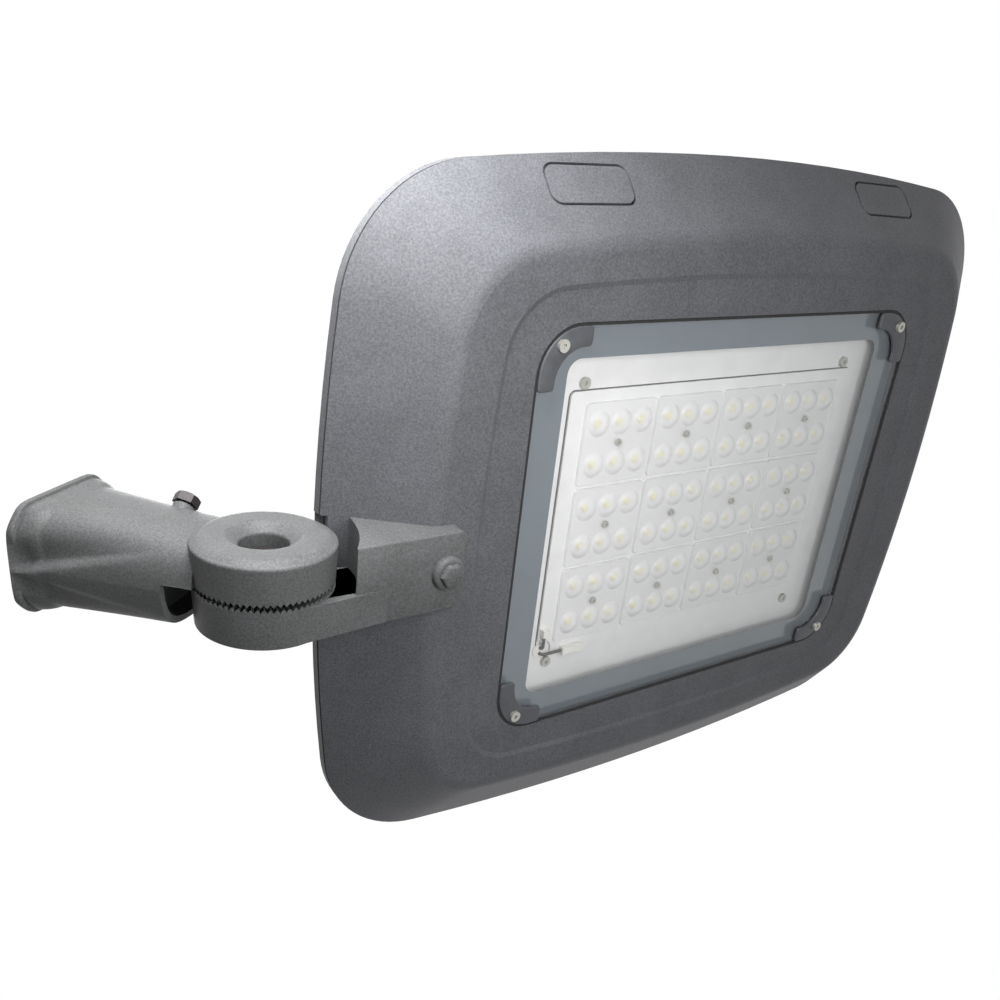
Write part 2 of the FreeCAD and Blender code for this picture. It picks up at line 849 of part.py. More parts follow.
def glass_outline(name, inset, low, height):
    """The glass: a rectangle with its corners cut off, clear of the clip screws."""
    body = doc.addObject("PartDesign::Body", name)
    sketch = new_sketch(body, name + "_outline", low)
    long_side = f"(window_half_length - glass_play - {inset})"
    short_side = f"(window_half_width - glass_play - {inset})"
    corner = "glass_corner_cut"
    quarter = [(long_side, f"({short_side} - {corner})"), (f"({long_side} - {corner})", short_side)]
    draw_polygon(sketch, mirrored(quarter))
    pad = body.newObject("PartDesign::Pad", name + "_pad")
    pad.Profile = sketch
    bind(pad, {"Length": height})
    return body


def build_glass():
    on_head("glass_panel", glass_outline("glass", "0", "0", "glass_thick"))
    border = glass_outline("border_plate", "0", "glass_thick", "border_thick")
    window = plate_form(
        "border_window",
        "clear_half_length",
        "clear_half_width",
        "clear_corner",
        "glass_thick - 1",
        "border_thick + 2",
    )
    on_head("glass_border", cut("border", border, [window]))
    low = "glass_thick + border_thick"
    seal = glass_outline("seal_plate", "0.5", low, "seal_thick")
    middle = glass_outline("seal_middle", "seal_width", f"{low} - 1", "seal_thick + 2")
    on_head("glass_gasket", cut("seal", seal, [middle]))


def build_clips():
    """Each clip is the corner of the recess less a round bite, with a small notch beside its screw."""
    screws = []
    for index, (side_x, side_y) in enumerate((("-", "-"), ("", "-"), ("", ""), ("-", "")), 1):
        name = f"corner_clip_{index}"
        plate = plate_form(
            name + "_recess",
            "window_half_length - fit",
            "window_half_width - fit",
            "window_corner - fit",
            "-clip_thick",
            "clip_thick",
        )
        centre_x = f"{side_x}(window_half_length - clip_arm / 2)"
        centre_y = f"{side_y}(window_half_width - clip_arm / 2)"
        zone = block(name + "_zone", "clip_arm", "clip_arm", "20", centre_x, centre_y, "-10")
        bite_x = f"{side_x}(window_half_length - clip_width - window_corner)"
        bite_y = f"{side_y}(window_half_width - clip_width - window_corner)"
        bite_radius = "window_corner + clip_tip"
        bite = rod(name + "_bite", bite_radius, "20", bite_x, bite_y, "-10")
        notch_x = f"{bite_x} + {side_x}({bite_radius}) * cos(45)"
        notch_y = f"{bite_y} + {side_y}({bite_radius}) * sin(45)"
        notch = rod(name + "_notch", "clip_notch", "20", notch_x, notch_y, "-10")
        x, y = f"{side_x}clip_screw_x", f"{side_y}clip_screw_y"
        hole = rod(name + "_hole", "clip_screw / 2 + fit", "20", x, y, "-10")
        on_head(name, cut(name, common(name + "_corner", plate, zone), [bite, notch, hole]))
        length = "ledge_back + clip_thick - 2"
        seat = "-clip_thick"
        head = ("clip_screw_head", "clip_screw_rise", "small_key")
        screws.append(screw_up(f"clip_screw_{index}", x, y, seat, "clip_screw", length, *head))
    on_head("clip_screws", group("clip_screw_set", screws))


def build_tray():
    plate = plate_form(
        "tray_plate",
        "tray_half_length",
        "tray_half_width",
        "tray_corner",
        "tray_front",
        "tray_thick",
    )
    low = "tray_front - 1"
    height = "tray_thick + 2"
    tools = [rod("grommet_hole", "grommet_radius + thread_play", height, "grommet_x", "grommet_y", low)]
    hole = "tray_screw / 2 + fit"
    for index, (x, y) in enumerate(tray_screw_places):
        tools.append(rod(f"tray_hole_{index}", hole, height, x, y, low))
    thread = "lens_screw / 2 + thread_play"
    for index, (x, y) in enumerate(module_places):
        tools.append(rod(f"tray_lens_thread_{index}", thread, height, x, y, low))
    on_head("reflector_tray", cut("tray", plate, tools))
    screws = []
    length = "tray_thick + 9"
    for index, (x, y) in enumerate(tray_screw_places):
        name = f"tray_screw_{index}"
        head = ("tray_screw_head", "tray_screw_rise", "small_key")
        screws.append(screw_up(name, x, y, "tray_front", "tray_screw", length, *head))
    on_head("tray_screws", group("tray_screw_set", screws))


def build_board():
    plate = plate_form(
        "board_plate",
        "board_half_length",
        "board_half_width",
        "3",
        "board_front",
        "board_thick",
    )
    low = "board_front - 1"
    height = "board_thick + 2"
    tools = [rod("board_notch", "board_notch", height, "grommet_x", "grommet_y", low)]
    hole = "lens_screw / 2 + thread_play"
    for index, (x, y) in enumerate(module_places):
        tools.append(rod(f"board_hole_{index}", hole, height, x, y, low))
    on_head("led_board", cut("board", plate, tools))


def lens_places(x, y):
    """Centres of the six lenses of the module at x, y."""
    places = []
    for column in ("-1", "0", "1"):
        for side in ("-", ""):
            places.append((f"{x} + {column} * lens_pitch_x", f"{y} + {side}lens_pitch_y / 2"))
    return places


def dome(name, x, y):
    """A lens dome: the cap of a ball that bulges down from the module's base."""
    item = doc.addObject("Part::Sphere", name)
    item.Angle1 = -90
    bind(
        item,
        {
            "Radius": "dome_ball",
            "Angle2": "-asin((dome_ball - dome_height) / dome_ball)",
        },
    )
    return set_place(item, x, y, "base_front + dome_ball - dome_height")


def build_lens_modules():
    chips = []
    screws = []
    for index, (x, y) in enumerate(module_places):
        name = f"lens_array_{index + 1:02d}"
        solids = [block(name + "_base", "module_length", "module_width", "lens_base", x, y, "base_front")]
        pockets = [rod(name + "_hole", "lens_screw / 2 + fit", "10", x, y, "base_front - 5")]
        for number_in_module, (lens_x, lens_y) in enumerate(lens_places(x, y)):
            label = f"{name}_{number_in_module}"
            solids.append(dome(label + "_dome", lens_x, lens_y))
            low = "board_front - chip_height - chip_play"
            pockets.append(rod(label + "_pocket", "chip_side * 0.75 + chip_play", "5", lens_x, lens_y, low))
            low = "board_front - chip_height"
            chips.append(block(label + "_chip", "chip_side", "chip_side", "chip_height", lens_x, lens_y, low))
        on_head(name, cut(name, fuse(name + "_solid", solids), pockets))
        length = "lens_base + board_thick + tray_thick"
        head = ("lens_screw_head", "lens_screw_rise", "lens_screw_key")
        screws.append(
            screw_up(f"lens_screw_{index}", x, y, "base_front", "lens_screw", length, *head)
        )
    on_head("led_chips", group("led_chip_set", chips))
    on_head("lens_screws", group("lens_screw_set", screws))


def lead(label, corners):
    """A round lead: straight runs joined by tangent quarter bends."""
    bend = number("wire_bend")
    edges = []
    start = corners[0]
    for before, corner, after in zip(corners, corners[1:], corners[2:]):
        arrive = (corner - before).normalize()
        leave = (after - corner).normalize()
        bend_start = corner - arrive * bend
        bend_end = corner + leave * bend
        centre = bend_start + leave * bend
        middle = centre + (corner - centre).normalize() * bend
        edges.append(Part.LineSegment(start, bend_start).toShape())
        edges.append(Part.Arc(bend_start, middle, bend_end).toShape())
        start = bend_end
    edges.append(Part.LineSegment(start, corners[-1]).toShape())
    heading = (corners[1] - corners[0]).normalize()
    ring = Part.Circle(corners[0], heading, number("wire_diameter / 2")).toShape()
    item = doc.addObject("Part::Feature", label)
    item.Shape = Part.Wire(edges).makePipeShell([Part.Wire(ring)], True, False)
    on_head(label, item)


def build_leads():
    hole_x = number("grommet_x")
    far_y = number("grommet_y + wire_spread")
    near_y = number("grommet_y - wire_spread")
    level = number("wire_level")
    low_rise = number("wire_rise")
    high_rise = number("wire_rise + wire_step")
    block_y = number("terminal_width / 2")
    plug_x = number("connector_x")
    pad_y = number("pad_y + pad_side / 2")
    lead(
        "lead_wire_1",
        [
            Vec(plug_x, far_y, level),
            Vec(hole_x, far_y, level),
            Vec(hole_x, far_y, high_rise),
            Vec(hole_x, block_y, high_rise),
        ],
    )
    lead(
        "lead_wire_2",
        [
            Vec(hole_x, pad_y, level),
            Vec(hole_x, near_y, level),
            Vec(hole_x, near_y, low_rise),
            Vec(hole_x, block_y, low_rise),
        ],
    )
    x, y = "grommet_x", "grommet_y"
    stem = rod("grommet_stem", "grommet_radius", "tray_thick + 2", x, y, "tray_front - 1")
    lip = "grommet_radius + grommet_lip"
    front = rod("grommet_front", lip, "1", x, y, "tray_front - 1")
    back = rod("grommet_back", lip, "1", x, y, "tray_back")
    holes = []
    for side in ("-", ""):
        place = f"{y} + {side}wire_spread"
        radius = "wire_diameter / 2 + thread_play"
        holes.append(rod(f"grommet_way{side}", radius, "20", x, place, "tray_front - 8"))
    on_head("wire_grommet", cut("grommet", fuse("grommet_solid", [stem, front, back]), holes))
    low = "board_front - connector_height"
    middle = "connector_x + connector_length / 2"
    plug_y = "grommet_y + wire_spread"
    plug = block("plug_block", "connector_length", "connector_width", "connector_height", middle, plug_y, low)
    pad = block("pad_block", "pad_side", "pad_side", "connector_height", x, "pad_y", low)
    on_head("board_connector", group("connector_set", [plug, pad]))


def build_driver():
    low = "roof - driver_height"
    case = block("driver_case", "driver_length", "driver_width", "driver_height", "0", "0", low)
    ears = block(
        "driver_ears",
        "driver_length + 2 * driver_ear",
        "ear_width",
        "ear_thick",
        "0",
        "0",
        "roof - ear_thick",
    )
    holes = []
    screws = []
    seat = "roof - ear_thick"
    length = "ear_thick + housing_wall - 1"
    for index, (x, y) in enumerate(driver_screw_places):
        holes.append(rod(f"ear_hole_{index}", "driver_screw / 2 + fit", "10", x, y, "roof - 8"))
        name = f"driver_screw_{index}"
        head = ("driver_screw_head", "driver_screw_rise", "small_key")
        screws.append(screw_up(name, x, y, seat, "driver_screw", length, *head))
    on_head("led_driver", cut("driver", fuse("driver_solid", [case, ears]), holes))
    on_head("driver_screws", group("driver_screw_set", screws))
    terminal = block(
        "terminal_case",
        "terminal_length",
        "terminal_width",
        "terminal_height",
        "terminal_x",
        "0",
        "roof - terminal_height",
    )
    ways = []
    for index in range(3):
        y = f"{index - 1} * terminal_width / 3.5"
        place = "terminal_x - terminal_length / 2 - 1"
        spot = (place, y, "roof - terminal_height / 2", "X")
        ways.append(rod(f"terminal_way_{index}", "terminal_hole", "terminal_hole_depth + 1", *spot))
    on_head("terminal_block", cut("terminal", terminal, ways))


def build_vent_and_gland():
    x, y = "vent_x", "vent_y"
    cap = rod("vent_cap", "vent_radius", "4", x, y, "back_height")
    stem = rod("vent_thread", "vent_stem", "housing_wall + 2", x, y, "roof - 2")
    on_head("breather_vent", fuse("vent", [cap, stem]))
    y = "gland_y"
    thread = rod("gland_thread", "gland_stem", "housing_wall + 6", x, y, "roof - 5")
    base = hexagon("gland_base", "gland_flats", "6", x, y, "back_height")
    nut = cone("gland_nut", "gland_radius", "gland_radius * 0.8", "9", x, y, "back_height + 6")
    lock = hexagon("gland_lock", "gland_flats", "4", x, y, "roof - 4")
    mouth = rod("gland_mouth", "gland_radius * 0.5", "3", x, y, "back_height + 13")
    on_head("cable_gland", cut("gland", fuse("gland_solid", [thread, base, nut, lock]), [mouth]))


def tooth_ring(name, axis_x, axis_z, side, phase):
    """A ring of radial teeth about the knuckle's axis. Their flanks meet the axis, so each one is flat."""
    count = 2 * int(number("tooth_count"))
    inner, outer = number("tooth_inner_radius"), number("lug_radius - 0.1")
    valley, height = number("tooth_base"), number("tooth_height")
    root = valley + number("tooth_root")
    points = []
    for index in range(count):
        angle = 2 * math.pi * (index + phase) / count
        ray_x, ray_z = math.cos(angle), math.sin(angle)
        spot = []
        for radius in (inner, outer):
            crest = valley - height * radius / outer * (index % 2)
            for level in (crest, root):
                spot.append(Vec(axis_x + radius * ray_x, side * level, axis_z + radius * ray_z))
        points.append(spot)
    faces = []
    for index in range(count):
        here, there = points[index], points[(index + 1) % count]
        for low, high in ((0, 2), (2, 3), (3, 1), (1, 0)):
            loop = [here[low], here[high], there[high], there[low], here[low]]
            faces.append(Part.Face(Part.makePolygon(loop)))
    ring = Part.makeSolid(Part.makeShell(faces))
    if ring.Volume < 0:
        ring.reverse()
    item = doc.addObject("Part::Feature", name)
    item.Shape = ring
    return item


def build_bracket():
    tongue = doc.addObject("PartDesign::Body", "bracket_tongue")
    middle = "(bracket_tip + bracket_heel) / 2"
    half_length = "(bracket_tip - bracket_heel) / 2"
    front = new_sketch(tongue, "tongue_front", "-bracket_front", shift=middle)
    draw_rounded(front, half_length, "bracket_half_width", "bracket_tip_round")
    base = new_sketch(tongue, "tongue_base", "rim_drop", shift=middle)
    draw_rounded(base, f"{half_length} + bracket_draft", "bracket_base_half", "bracket_tip_round")
    loft = tongue.newObject("PartDesign::AdditiveLoft", "tongue_loft")
    loft.Profile = front
    loft.Sections = [base]
    loft.Ruled = True
    face = "tooth_base + tooth_sink"
    rim = "lug_height - bracket_lug_chamfer"
    lug = knuckle_rod("bracket_lug", "lug_radius", face, f"{rim} - ({face})")
    edge = cone(
        "bracket_lug_edge",
        "lug_radius",
        "lug_radius - bracket_lug_chamfer",
        "bracket_lug_chamfer",
        "-knuckle_to_head",
        rim,
        "knuckle_above_glass",
        "Y",
    )
    teeth = tooth_ring("bracket_teeth", -number("knuckle_to_head"), number("knuckle_above_glass"), 1, 1)
    web = doc.addObject("PartDesign::Body", "bracket_web")
    outline = new_sketch(web, "web_outline", face)
    touch_x = "-knuckle_to_head + lug_radius * cos(web_turn)"
    touch_z = "lug_radius * sin(web_turn) - knuckle_above_glass"
    corners = [
        ("web_end", "bracket_front"),
        ("web_end", "-knuckle_above_glass"),
        ("-knuckle_to_head", "-knuckle_above_glass"),
        (touch_x, touch_z),
    ]
    draw_polygon(outline, corners)
    pad = web.newObject("PartDesign::Pad", "web_pad")
    pad.Profile = outline
    bind(pad, {"Length": f"bracket_half_width - ({face})"})
    set_place(web, "0", "0", "0", "Y")
    x = "bracket_bolt_x"
    pad = rod("bracket_pad", "bracket_pad_radius", "8", x, "0", "-bracket_front - bracket_pad")
    room = knuckle_rod("socket_room", "lug_radius + bracket_clearance", "-60", "60 + tooth_base")
    seat = bowed_form(
        "bracket_seat",
        rim_outline("-seat_gap", "rim_drop"),
        crest_outline("-seat_gap", "-crest_rise - seat_gap"),
    )
    rim_seat = bowed_form(
        "rim_seat",
        rim_outline("-seat_gap", "rim_drop - 0.01"),
        rim_outline("-seat_gap", "band_top + 30"),
    )
    arm = cut("bracket_arm", fuse("bracket_block", [tongue, pad]), [room])
    tools = [
        seat,
        rim_seat,
        rod("bracket_bolt_hole", "bracket_bolt / 2 + fit", "40", x, "0", "-30"),
        knuckle_rod("bracket_pivot", "knuckle_bolt / 2 + fit", "-5", "60"),
    ]
    pocket = hexagon(
        "nut_pocket",
        "nut_flats + fit",
        "nut_depth + 5",
        "-knuckle_to_head",
        "lug_height - nut_depth",
        "knuckle_above_glass",
        "Y",
    )
    tools.append(pocket)
    thread = "inner_bolt / 2 + thread_play"
    for index, y in enumerate(inner_bolt_rows):
        tools.append(rod(f"bracket_thread_{index}", thread, "40", "inner_bolt_x", y, "-bracket_front + 6"))
    on_head("mounting_bracket", cut("bracket", fuse("bracket_solid", [arm, lug, edge, teeth, web]), tools))
    nut = hexagon(
        "nut_solid",
        "nut_flats",
        "nut_height",
        "-knuckle_to_head",
        "lug_height - nut_depth",
        "knuckle_above_glass",
        "Y",
    )
    bore = knuckle_rod("nut_bore", "knuckle_bolt / 2 + fit", "0", "60")
    on_head("knuckle_nut", cut("nut", nut, [bore]))
    top = "-bracket_front - bracket_pad"
    shank = rod("bracket_bolt_shank", "bracket_bolt / 2", "bracket_front + bolt_post - 1", x, "0", top)
    low = f"{top} - bracket_bolt_head"
    head = hexagon("bracket_bolt_head", "bracket_bolt_flats", "bracket_bolt_head", x, "0", low)
    on_head("bracket_bolt", fuse("bolt", [shank, head]))
    bolts = []
    low = "-bracket_front + 8"
    for index, y in enumerate(inner_bolt_rows):
        length = f"inner_bolt_seat - ({low}) + 1"
        shank = rod(f"inner_shank_{index}", "inner_bolt / 2", length, "inner_bolt_x", y, low)
        spot = ("inner_bolt_x", y, "inner_bolt_seat")
        head = hexagon(f"inner_head_{index}", "inner_bolt_flats", "inner_bolt_rise", *spot)
        bolts.append(fuse(f"inner_bolt_{index}", [shank, head]))
    on_head("bracket_inner_bolts", group("inner_bolt_set", bolts))


def draw_socket(sketch, grow, half_height, half_width, chamfer, groove_depth, groove_half):
    """The socket's outline: chamfered corners and a wide shallow groove down the middle of two sides."""
    high = f"({half_height} + {grow})"
    wide = f"({half_width} + {grow})"
    quarter = [
        (f"({high} - {groove_depth})", groove_half),
        (high, f"({groove_half} + groove_flank)"),
        (high, f"({wide} - {chamfer})"),
        (f"({high} - {chamfer})", wide),
    ]
    draw_polygon(sketch, mirrored(quarter))


mouth_sizes = (
    "mouth_half_height",
    "mouth_half_width",
    "mouth_chamfer",
    "groove_depth",
    "groove_half_mouth",
)
neck_sizes = ("neck_half_height", "neck_half_width", "neck_chamfer", "0", "groove_half_neck")


def spoke(item, low, along, turn):
    """Lays an upright form square to the pole's axis: its foot at low from the axis, at a turn about it."""
    item.Placement = FreeCAD.Placement(Vec(), Turn(Vec(0, 0, 1), number(turn)) * Turn(Vec(0, 1, 0), 90))
    bind(
        item,
        {
            "Placement.Base.x": f"({low}) * cos({turn})",
            "Placement.Base.y": f"({low}) * sin({turn})",
            "Placement.Base.z": along,
        },
    )
    return item


set_screws = [
    ("set_screw_inner", "(180 + set_screw_turn)"),
    ("set_screw_inner", "(180 - set_screw_turn)"),
    ("set_screw_outer", "180"),
]


def build_fitter():
    body = doc.addObject("PartDesign::Body", "socket_body")
    mouth = new_sketch(body, "socket_mouth")
    draw_socket(mouth, "0", *mouth_sizes)
    neck = new_sketch(body, "socket_neck", "neck_start")
    draw_socket(neck, "0", *neck_sizes)
    loft = body.newObject("PartDesign::AdditiveLoft", "socket_loft")
    loft.Profile = mouth
    loft.Sections = [neck]
    loft.Ruled = True
    lip = doc.addObject("PartDesign::Body", "socket_lip")
    outline = new_sketch(lip, "lip_outline")
    draw_socket(outline, "lip_rise", *mouth_sizes)
    pad = lip.newObject("PartDesign::Pad", "lip_pad")
    pad.Profile = outline
    bind(pad, {"Length": "lip_length"})
    shank = doc.addObject("PartDesign::Body", "socket_shank")
    outline = new_sketch(shank, "shank_outline", "neck_start")
    draw_socket(outline, "0", *neck_sizes)
    pad = shank.newObject("PartDesign::Pad", "shank_pad")
    pad.Profile = outline
    bind(pad, {"Length": "knuckle_reach - neck_start"})
    axis = "knuckle_reach"
    rim = "socket_lug_height - lug_chamfer"
    root = "tooth_base + tooth_sink"
    lug = rod("socket_lug", "lug_radius", f"{rim} - ({root})", "0", f"-({rim})", axis, "Y")
    edge = cone(
        "socket_lug_edge",
        "lug_radius - lug_chamfer",
        "lug_radius",
        "lug_chamfer",
        "0",
        "-socket_lug_height",
        axis,
        "Y",
    )
    bosses = []
    threads = []
    screws = []
    for index, (along, turn) in enumerate(set_screws):
        boss = rod(f"set_boss_{index}", "set_screw_boss", "set_screw_reach - bore_radius", "0", "0", "0")
        bosses.append(spoke(boss, "bore_radius", along, turn))
        thread = rod(f"set_thread_{index}", "set_screw / 2 + thread_play", "40", "0", "0", "0")
        threads.append(spoke(thread, "bore_radius - 5", along, turn))
        face = rod(f"set_face_{index}", "set_screw_boss", "20", "0", "0", "0")
        threads.append(spoke(face, "set_screw_reach", along, turn))
        low = "bore_radius + 0.5"
        length = f"set_screw_reach + set_screw_stand_off - ({low}) + 1"
        shaft = spoke(rod(f"set_shank_{index}", "set_screw / 2", length, "0", "0", "0"), low, along, turn)
        head = hexagon(f"set_head_{index}", "set_screw_flats", "set_screw_head", "0", "0", "0")
        spoke(head, "set_screw_reach + set_screw_stand_off", along, turn)
        length = "set_screw_stand_off + 1"
        collar = rod(f"set_collar_{index}", "set_screw_flats * 0.46", length, "0", "0", "0")
        spoke(collar, "set_screw_reach", along, turn)
        screws.append(fuse(f"set_screw_{index}", [shaft, head, collar]))
    room = rod("lug_room", "lug_radius + lug_clearance", "60", "0", f"-({root})", axis, "Y")
    low = "knuckle_reach - neck_cut"
    wide = "2 * mouth_half_height"
    gap = block("neck_gap", wide, wide, "neck_cut", "0", f"mouth_half_height - ({root})", low)
    union = fuse("socket_union", [body, lip, shank, lug, edge] + bosses)
    solid = cut("socket_solid", union, [room, gap])
    teeth = tooth_ring("socket_teeth", 0, number(axis), -1, 0)
    floor = "-bolt_well_floor"
    top = "-socket_lug_height"
    sink = cone("bolt_sink", "sink_radius", "bolt_well_radius", "sink_depth", "0", top, axis, "Y")
    tools = [
        rod("pole_bore", "bore_radius", "socket_depth + 1", "0", "0", "-1"),
        rod("bolt_well", "bolt_well_radius", "60", "0", f"{floor} - 60", axis, "Y"),
        rod("pivot_hole", "knuckle_bolt / 2 + fit", "60", "0", "-30", axis, "Y"),
        sink,
    ]
    on_pole("slip_fitter", cut("fitter", fuse("fitter_solid", [solid, teeth]), tools + threads))
    on_pole("pole_set_screws", group("set_screw_set", screws))
    washer = rod("washer_disc", "washer_radius", "washer_thick", "0", f"{floor} - washer_thick", axis, "Y")
    hole = rod("washer_hole", "knuckle_bolt / 2 + fit", "60", "0", "-30", axis, "Y")
    on_pole("knuckle_washer", cut("washer", washer, [hole]))
    under = f"{floor} - washer_thick"
    shank = rod("pivot_shank", "knuckle_bolt / 2", f"lug_height - 1 - ({under})", "0", under, axis, "Y")
    top = f"{under} - bolt_head_height"
    head = rod("pivot_head", "bolt_head_radius", "bolt_head_height", "0", top, axis, "Y")
    key = hexagon("pivot_key", "hex_key", "key_depth", "0", top, axis, "Y")
    on_pole("knuckle_bolt", cut("pivot", fuse("pivot_solid", [shank, head]), [key]))


clip_places = corner_places("clip_screw_x", "clip_screw_y")
tray_screw_places = corner_places("tray_screw_x", "tray_screw_y")
driver_screw_places = corner_places("(driver_length + driver_ear) / 2", "ear_width / 3")
inner_bolt_rows = ("-inner_bolt_y", "inner_bolt_y")
module_places = []
for row in ("-1", "0", "1"):
    for column in ("-1.5", "-0.5", "0.5", "1.5"):
        module_places.append(
            (f"{column} * module_pitch_x", f"{row} * module_pitch_y + module_shift_y")
        )

build_fitter()
build_bracket()
frame_form = build_front_frame()
build_plugs(frame_form)
for builder in (
    build_rear_housing,
    build_housing_gasket,
    build_frame_screws,
    build_glass,
    build_clips,
    build_tray,
    build_board,
    build_lens_modules,
    build_leads,
    build_driver,
    build_vent_and_gland,
):
    builder()

doc.recompute()
for item in doc.Objects:
    if "Invalid" in item.State or "Error" in item.State:
        raise RuntimeError(f"{item.Name} did not build: {item.State}")
for item in pieces:
    if item.Shape.isNull() or not item.Shape.isValid():
        raise RuntimeError(f"{item.Label} has no valid shape")
os.makedirs("parts", exist_ok=True)
for item in pieces:
    item.Shape.exportStep(f"parts/{item.Label}.step")
    print(item.Label, len(item.Shape.Solids), round(item.Shape.Volume))
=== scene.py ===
import json
import math
import bmesh
import bpy
import numpy as np
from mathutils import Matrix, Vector


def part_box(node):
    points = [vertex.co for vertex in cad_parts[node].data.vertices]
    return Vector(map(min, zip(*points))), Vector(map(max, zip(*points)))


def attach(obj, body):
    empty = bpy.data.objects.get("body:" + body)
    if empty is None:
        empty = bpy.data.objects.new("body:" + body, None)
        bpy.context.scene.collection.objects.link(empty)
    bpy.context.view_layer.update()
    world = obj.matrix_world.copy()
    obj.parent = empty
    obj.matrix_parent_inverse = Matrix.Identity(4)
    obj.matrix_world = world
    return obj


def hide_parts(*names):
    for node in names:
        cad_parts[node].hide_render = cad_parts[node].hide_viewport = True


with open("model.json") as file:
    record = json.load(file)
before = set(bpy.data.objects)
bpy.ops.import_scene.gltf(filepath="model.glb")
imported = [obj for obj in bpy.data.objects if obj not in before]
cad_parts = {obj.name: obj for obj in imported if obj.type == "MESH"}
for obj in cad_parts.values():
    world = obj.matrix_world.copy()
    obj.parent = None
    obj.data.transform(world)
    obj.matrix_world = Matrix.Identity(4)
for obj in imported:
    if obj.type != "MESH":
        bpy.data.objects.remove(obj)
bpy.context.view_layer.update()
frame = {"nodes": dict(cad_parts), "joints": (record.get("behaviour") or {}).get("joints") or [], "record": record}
nodes = frame["nodes"]
record = frame["record"]
scene = bpy.context.scene
mm = 0.001
fullTurn = 2 * math.pi
tiny = 1e-6  # a length near zero
cornerSigns = ((-1, -1), (1, -1), (1, 1), (-1, 1))
print("frame loaded:", len(nodes), "nodes")


# colours and nodes
def srgb(code):
    # each channel of a #rrggbb value, taken from its display curve to linear light
    parts = np.array([int(code[i:i + 2], 16) for i in (1, 3, 5)]) / 255.0
    linear = np.where(parts <= 0.04045, parts / 12.92, ((parts + 0.055) / 1.055) ** 2.4)
    return (*linear.tolist(), 1.0)


def addNode(tree, kind, settings=None, links=None):
    # settings go to sockets by name or number, or to the node's own properties;
    # each link is (socket, from node, output)
    node = tree.nodes.new(kind)
    for key, value in (settings or {}).items():
        if isinstance(key, int) or key in node.inputs:
            node.inputs[key].default_value = value
        else:
            setattr(node, key, value)
    for into, source, output in links or []:
        tree.links.new(source.outputs[output], node.inputs[into])
    return node


def newFinish(name, settings):
    # a material with one Principled shader, its settings set on the shader itself
    material = bpy.data.materials.new(name)
    material.use_nodes = True
    tree = material.node_tree
    shader = tree.nodes["Principled BSDF"]
    for key, value in settings.items():
        shader.inputs[key].default_value = value
    return material, tree, shader


def grain(tree, size, detail, seed):
    # noise on Object coordinates with blotches of about this size in millimetres, moved along by a seed
    coords = addNode(tree, "ShaderNodeTexCoord")
    move = {"Location": (seed, seed * 0.7, 0)}
    place = addNode(tree, "ShaderNodeMapping", move, [("Vector", coords, "Object")])
    noise = {"Scale": 1 / mm / size, "Detail": detail}
    return addNode(tree, "ShaderNodeTexNoise", noise, [("Vector", place, 0)])


# the grit of the real coat is finer than a pixel, so it is drawn this coarse to show
powder = {
    "grit": {"size": 1.1, "detail": 3.0, "seed": 0.0},
    "cloud": {"size": 26.0, "detail": 2.0, "seed": 3.1},
    "gritShare": 0.8, "toneEnds": (0.36, 0.66), "rough": 0.5, "gloss": 0.2, "bump": 0.32, "relief": 0.35,
}


def powderCoat(name, dark, light):
    # polyester powder coat on cast aluminium: fine orange-peel grit that sparkles, faint cloudy tone
    settings = {"Roughness": powder["rough"], "Specular IOR Level": powder["gloss"]}
    material, tree, shader = newFinish(name, settings)
    grit = grain(tree, **powder["grit"])
    cloud = grain(tree, **powder["cloud"])
    share = powder["gritShare"]
    most = addNode(tree, "ShaderNodeMath", {"operation": "MULTIPLY", 1: share}, [(0, grit, 0)])
    add = {"operation": "MULTIPLY_ADD", 1: 1 - share}
    both = addNode(tree, "ShaderNodeMath", add, [(0, cloud, 0), (2, most, 0)])
    ramp = addNode(tree, "ShaderNodeValToRGB", None, [(0, both, 0)])
    for element, position, code in zip(ramp.color_ramp.elements, powder["toneEnds"], (dark, light)):
        element.position = position
        element.color = srgb(code)
    tree.links.new(ramp.outputs[0], shader.inputs["Base Color"])
    lift = {"Strength": powder["bump"], "Distance": powder["relief"] * mm}
    bump = addNode(tree, "ShaderNodeBump", lift, [("Height", grit, 0)])
    tree.links.new(bump.outputs[0], shader.inputs["Normal"])
    return material


smooth = {
    "detail": 3.0, "seed": 1.7, "toneEnds": (0.3, 0.7), "glossSpread": 0.15, "bump": 0.05, "relief": 0.2,
}


def smoothCoat(name, code, rough, spread, size, metallic=0.0):
    # a smooth moulded, painted or plated surface with a faint change of tone and gloss
    material, tree, shader = newFinish(name, {"Metallic": metallic, "Roughness": rough})
    tone = grain(tree, size, smooth["detail"], smooth["seed"])
    base = np.array(srgb(code))
    ramp = addNode(tree, "ShaderNodeValToRGB", None, [(0, tone, 0)])
    factors = (1 - spread, 1 + spread)
    for element, position, factor in zip(ramp.color_ramp.elements, smooth["toneEnds"], factors):
        element.position = position
        element.color = (*(base[:3] * factor).clip(0, 1), 1.0)
    tree.links.new(ramp.outputs[0], shader.inputs["Base Color"])
    less, more = (rough * (1 + sign * smooth["glossSpread"]) for sign in (-1, 1))
    gloss = addNode(tree, "ShaderNodeMapRange", {"To Min": less, "To Max": more}, [("Value", tone, 0)])
    tree.links.new(gloss.outputs[0], shader.inputs["Roughness"])
    lift = {"Strength": smooth["bump"], "Distance": smooth["relief"] * mm}
    bump = addNode(tree, "ShaderNodeBump", lift, [("Height", tone, 0)])
    tree.links.new(bump.outputs[0], shader.inputs["Normal"])
    return material


clear = {"toneEnds": (0.3, 0.95), "faceOn": 0.04, "steepness": 5.0}


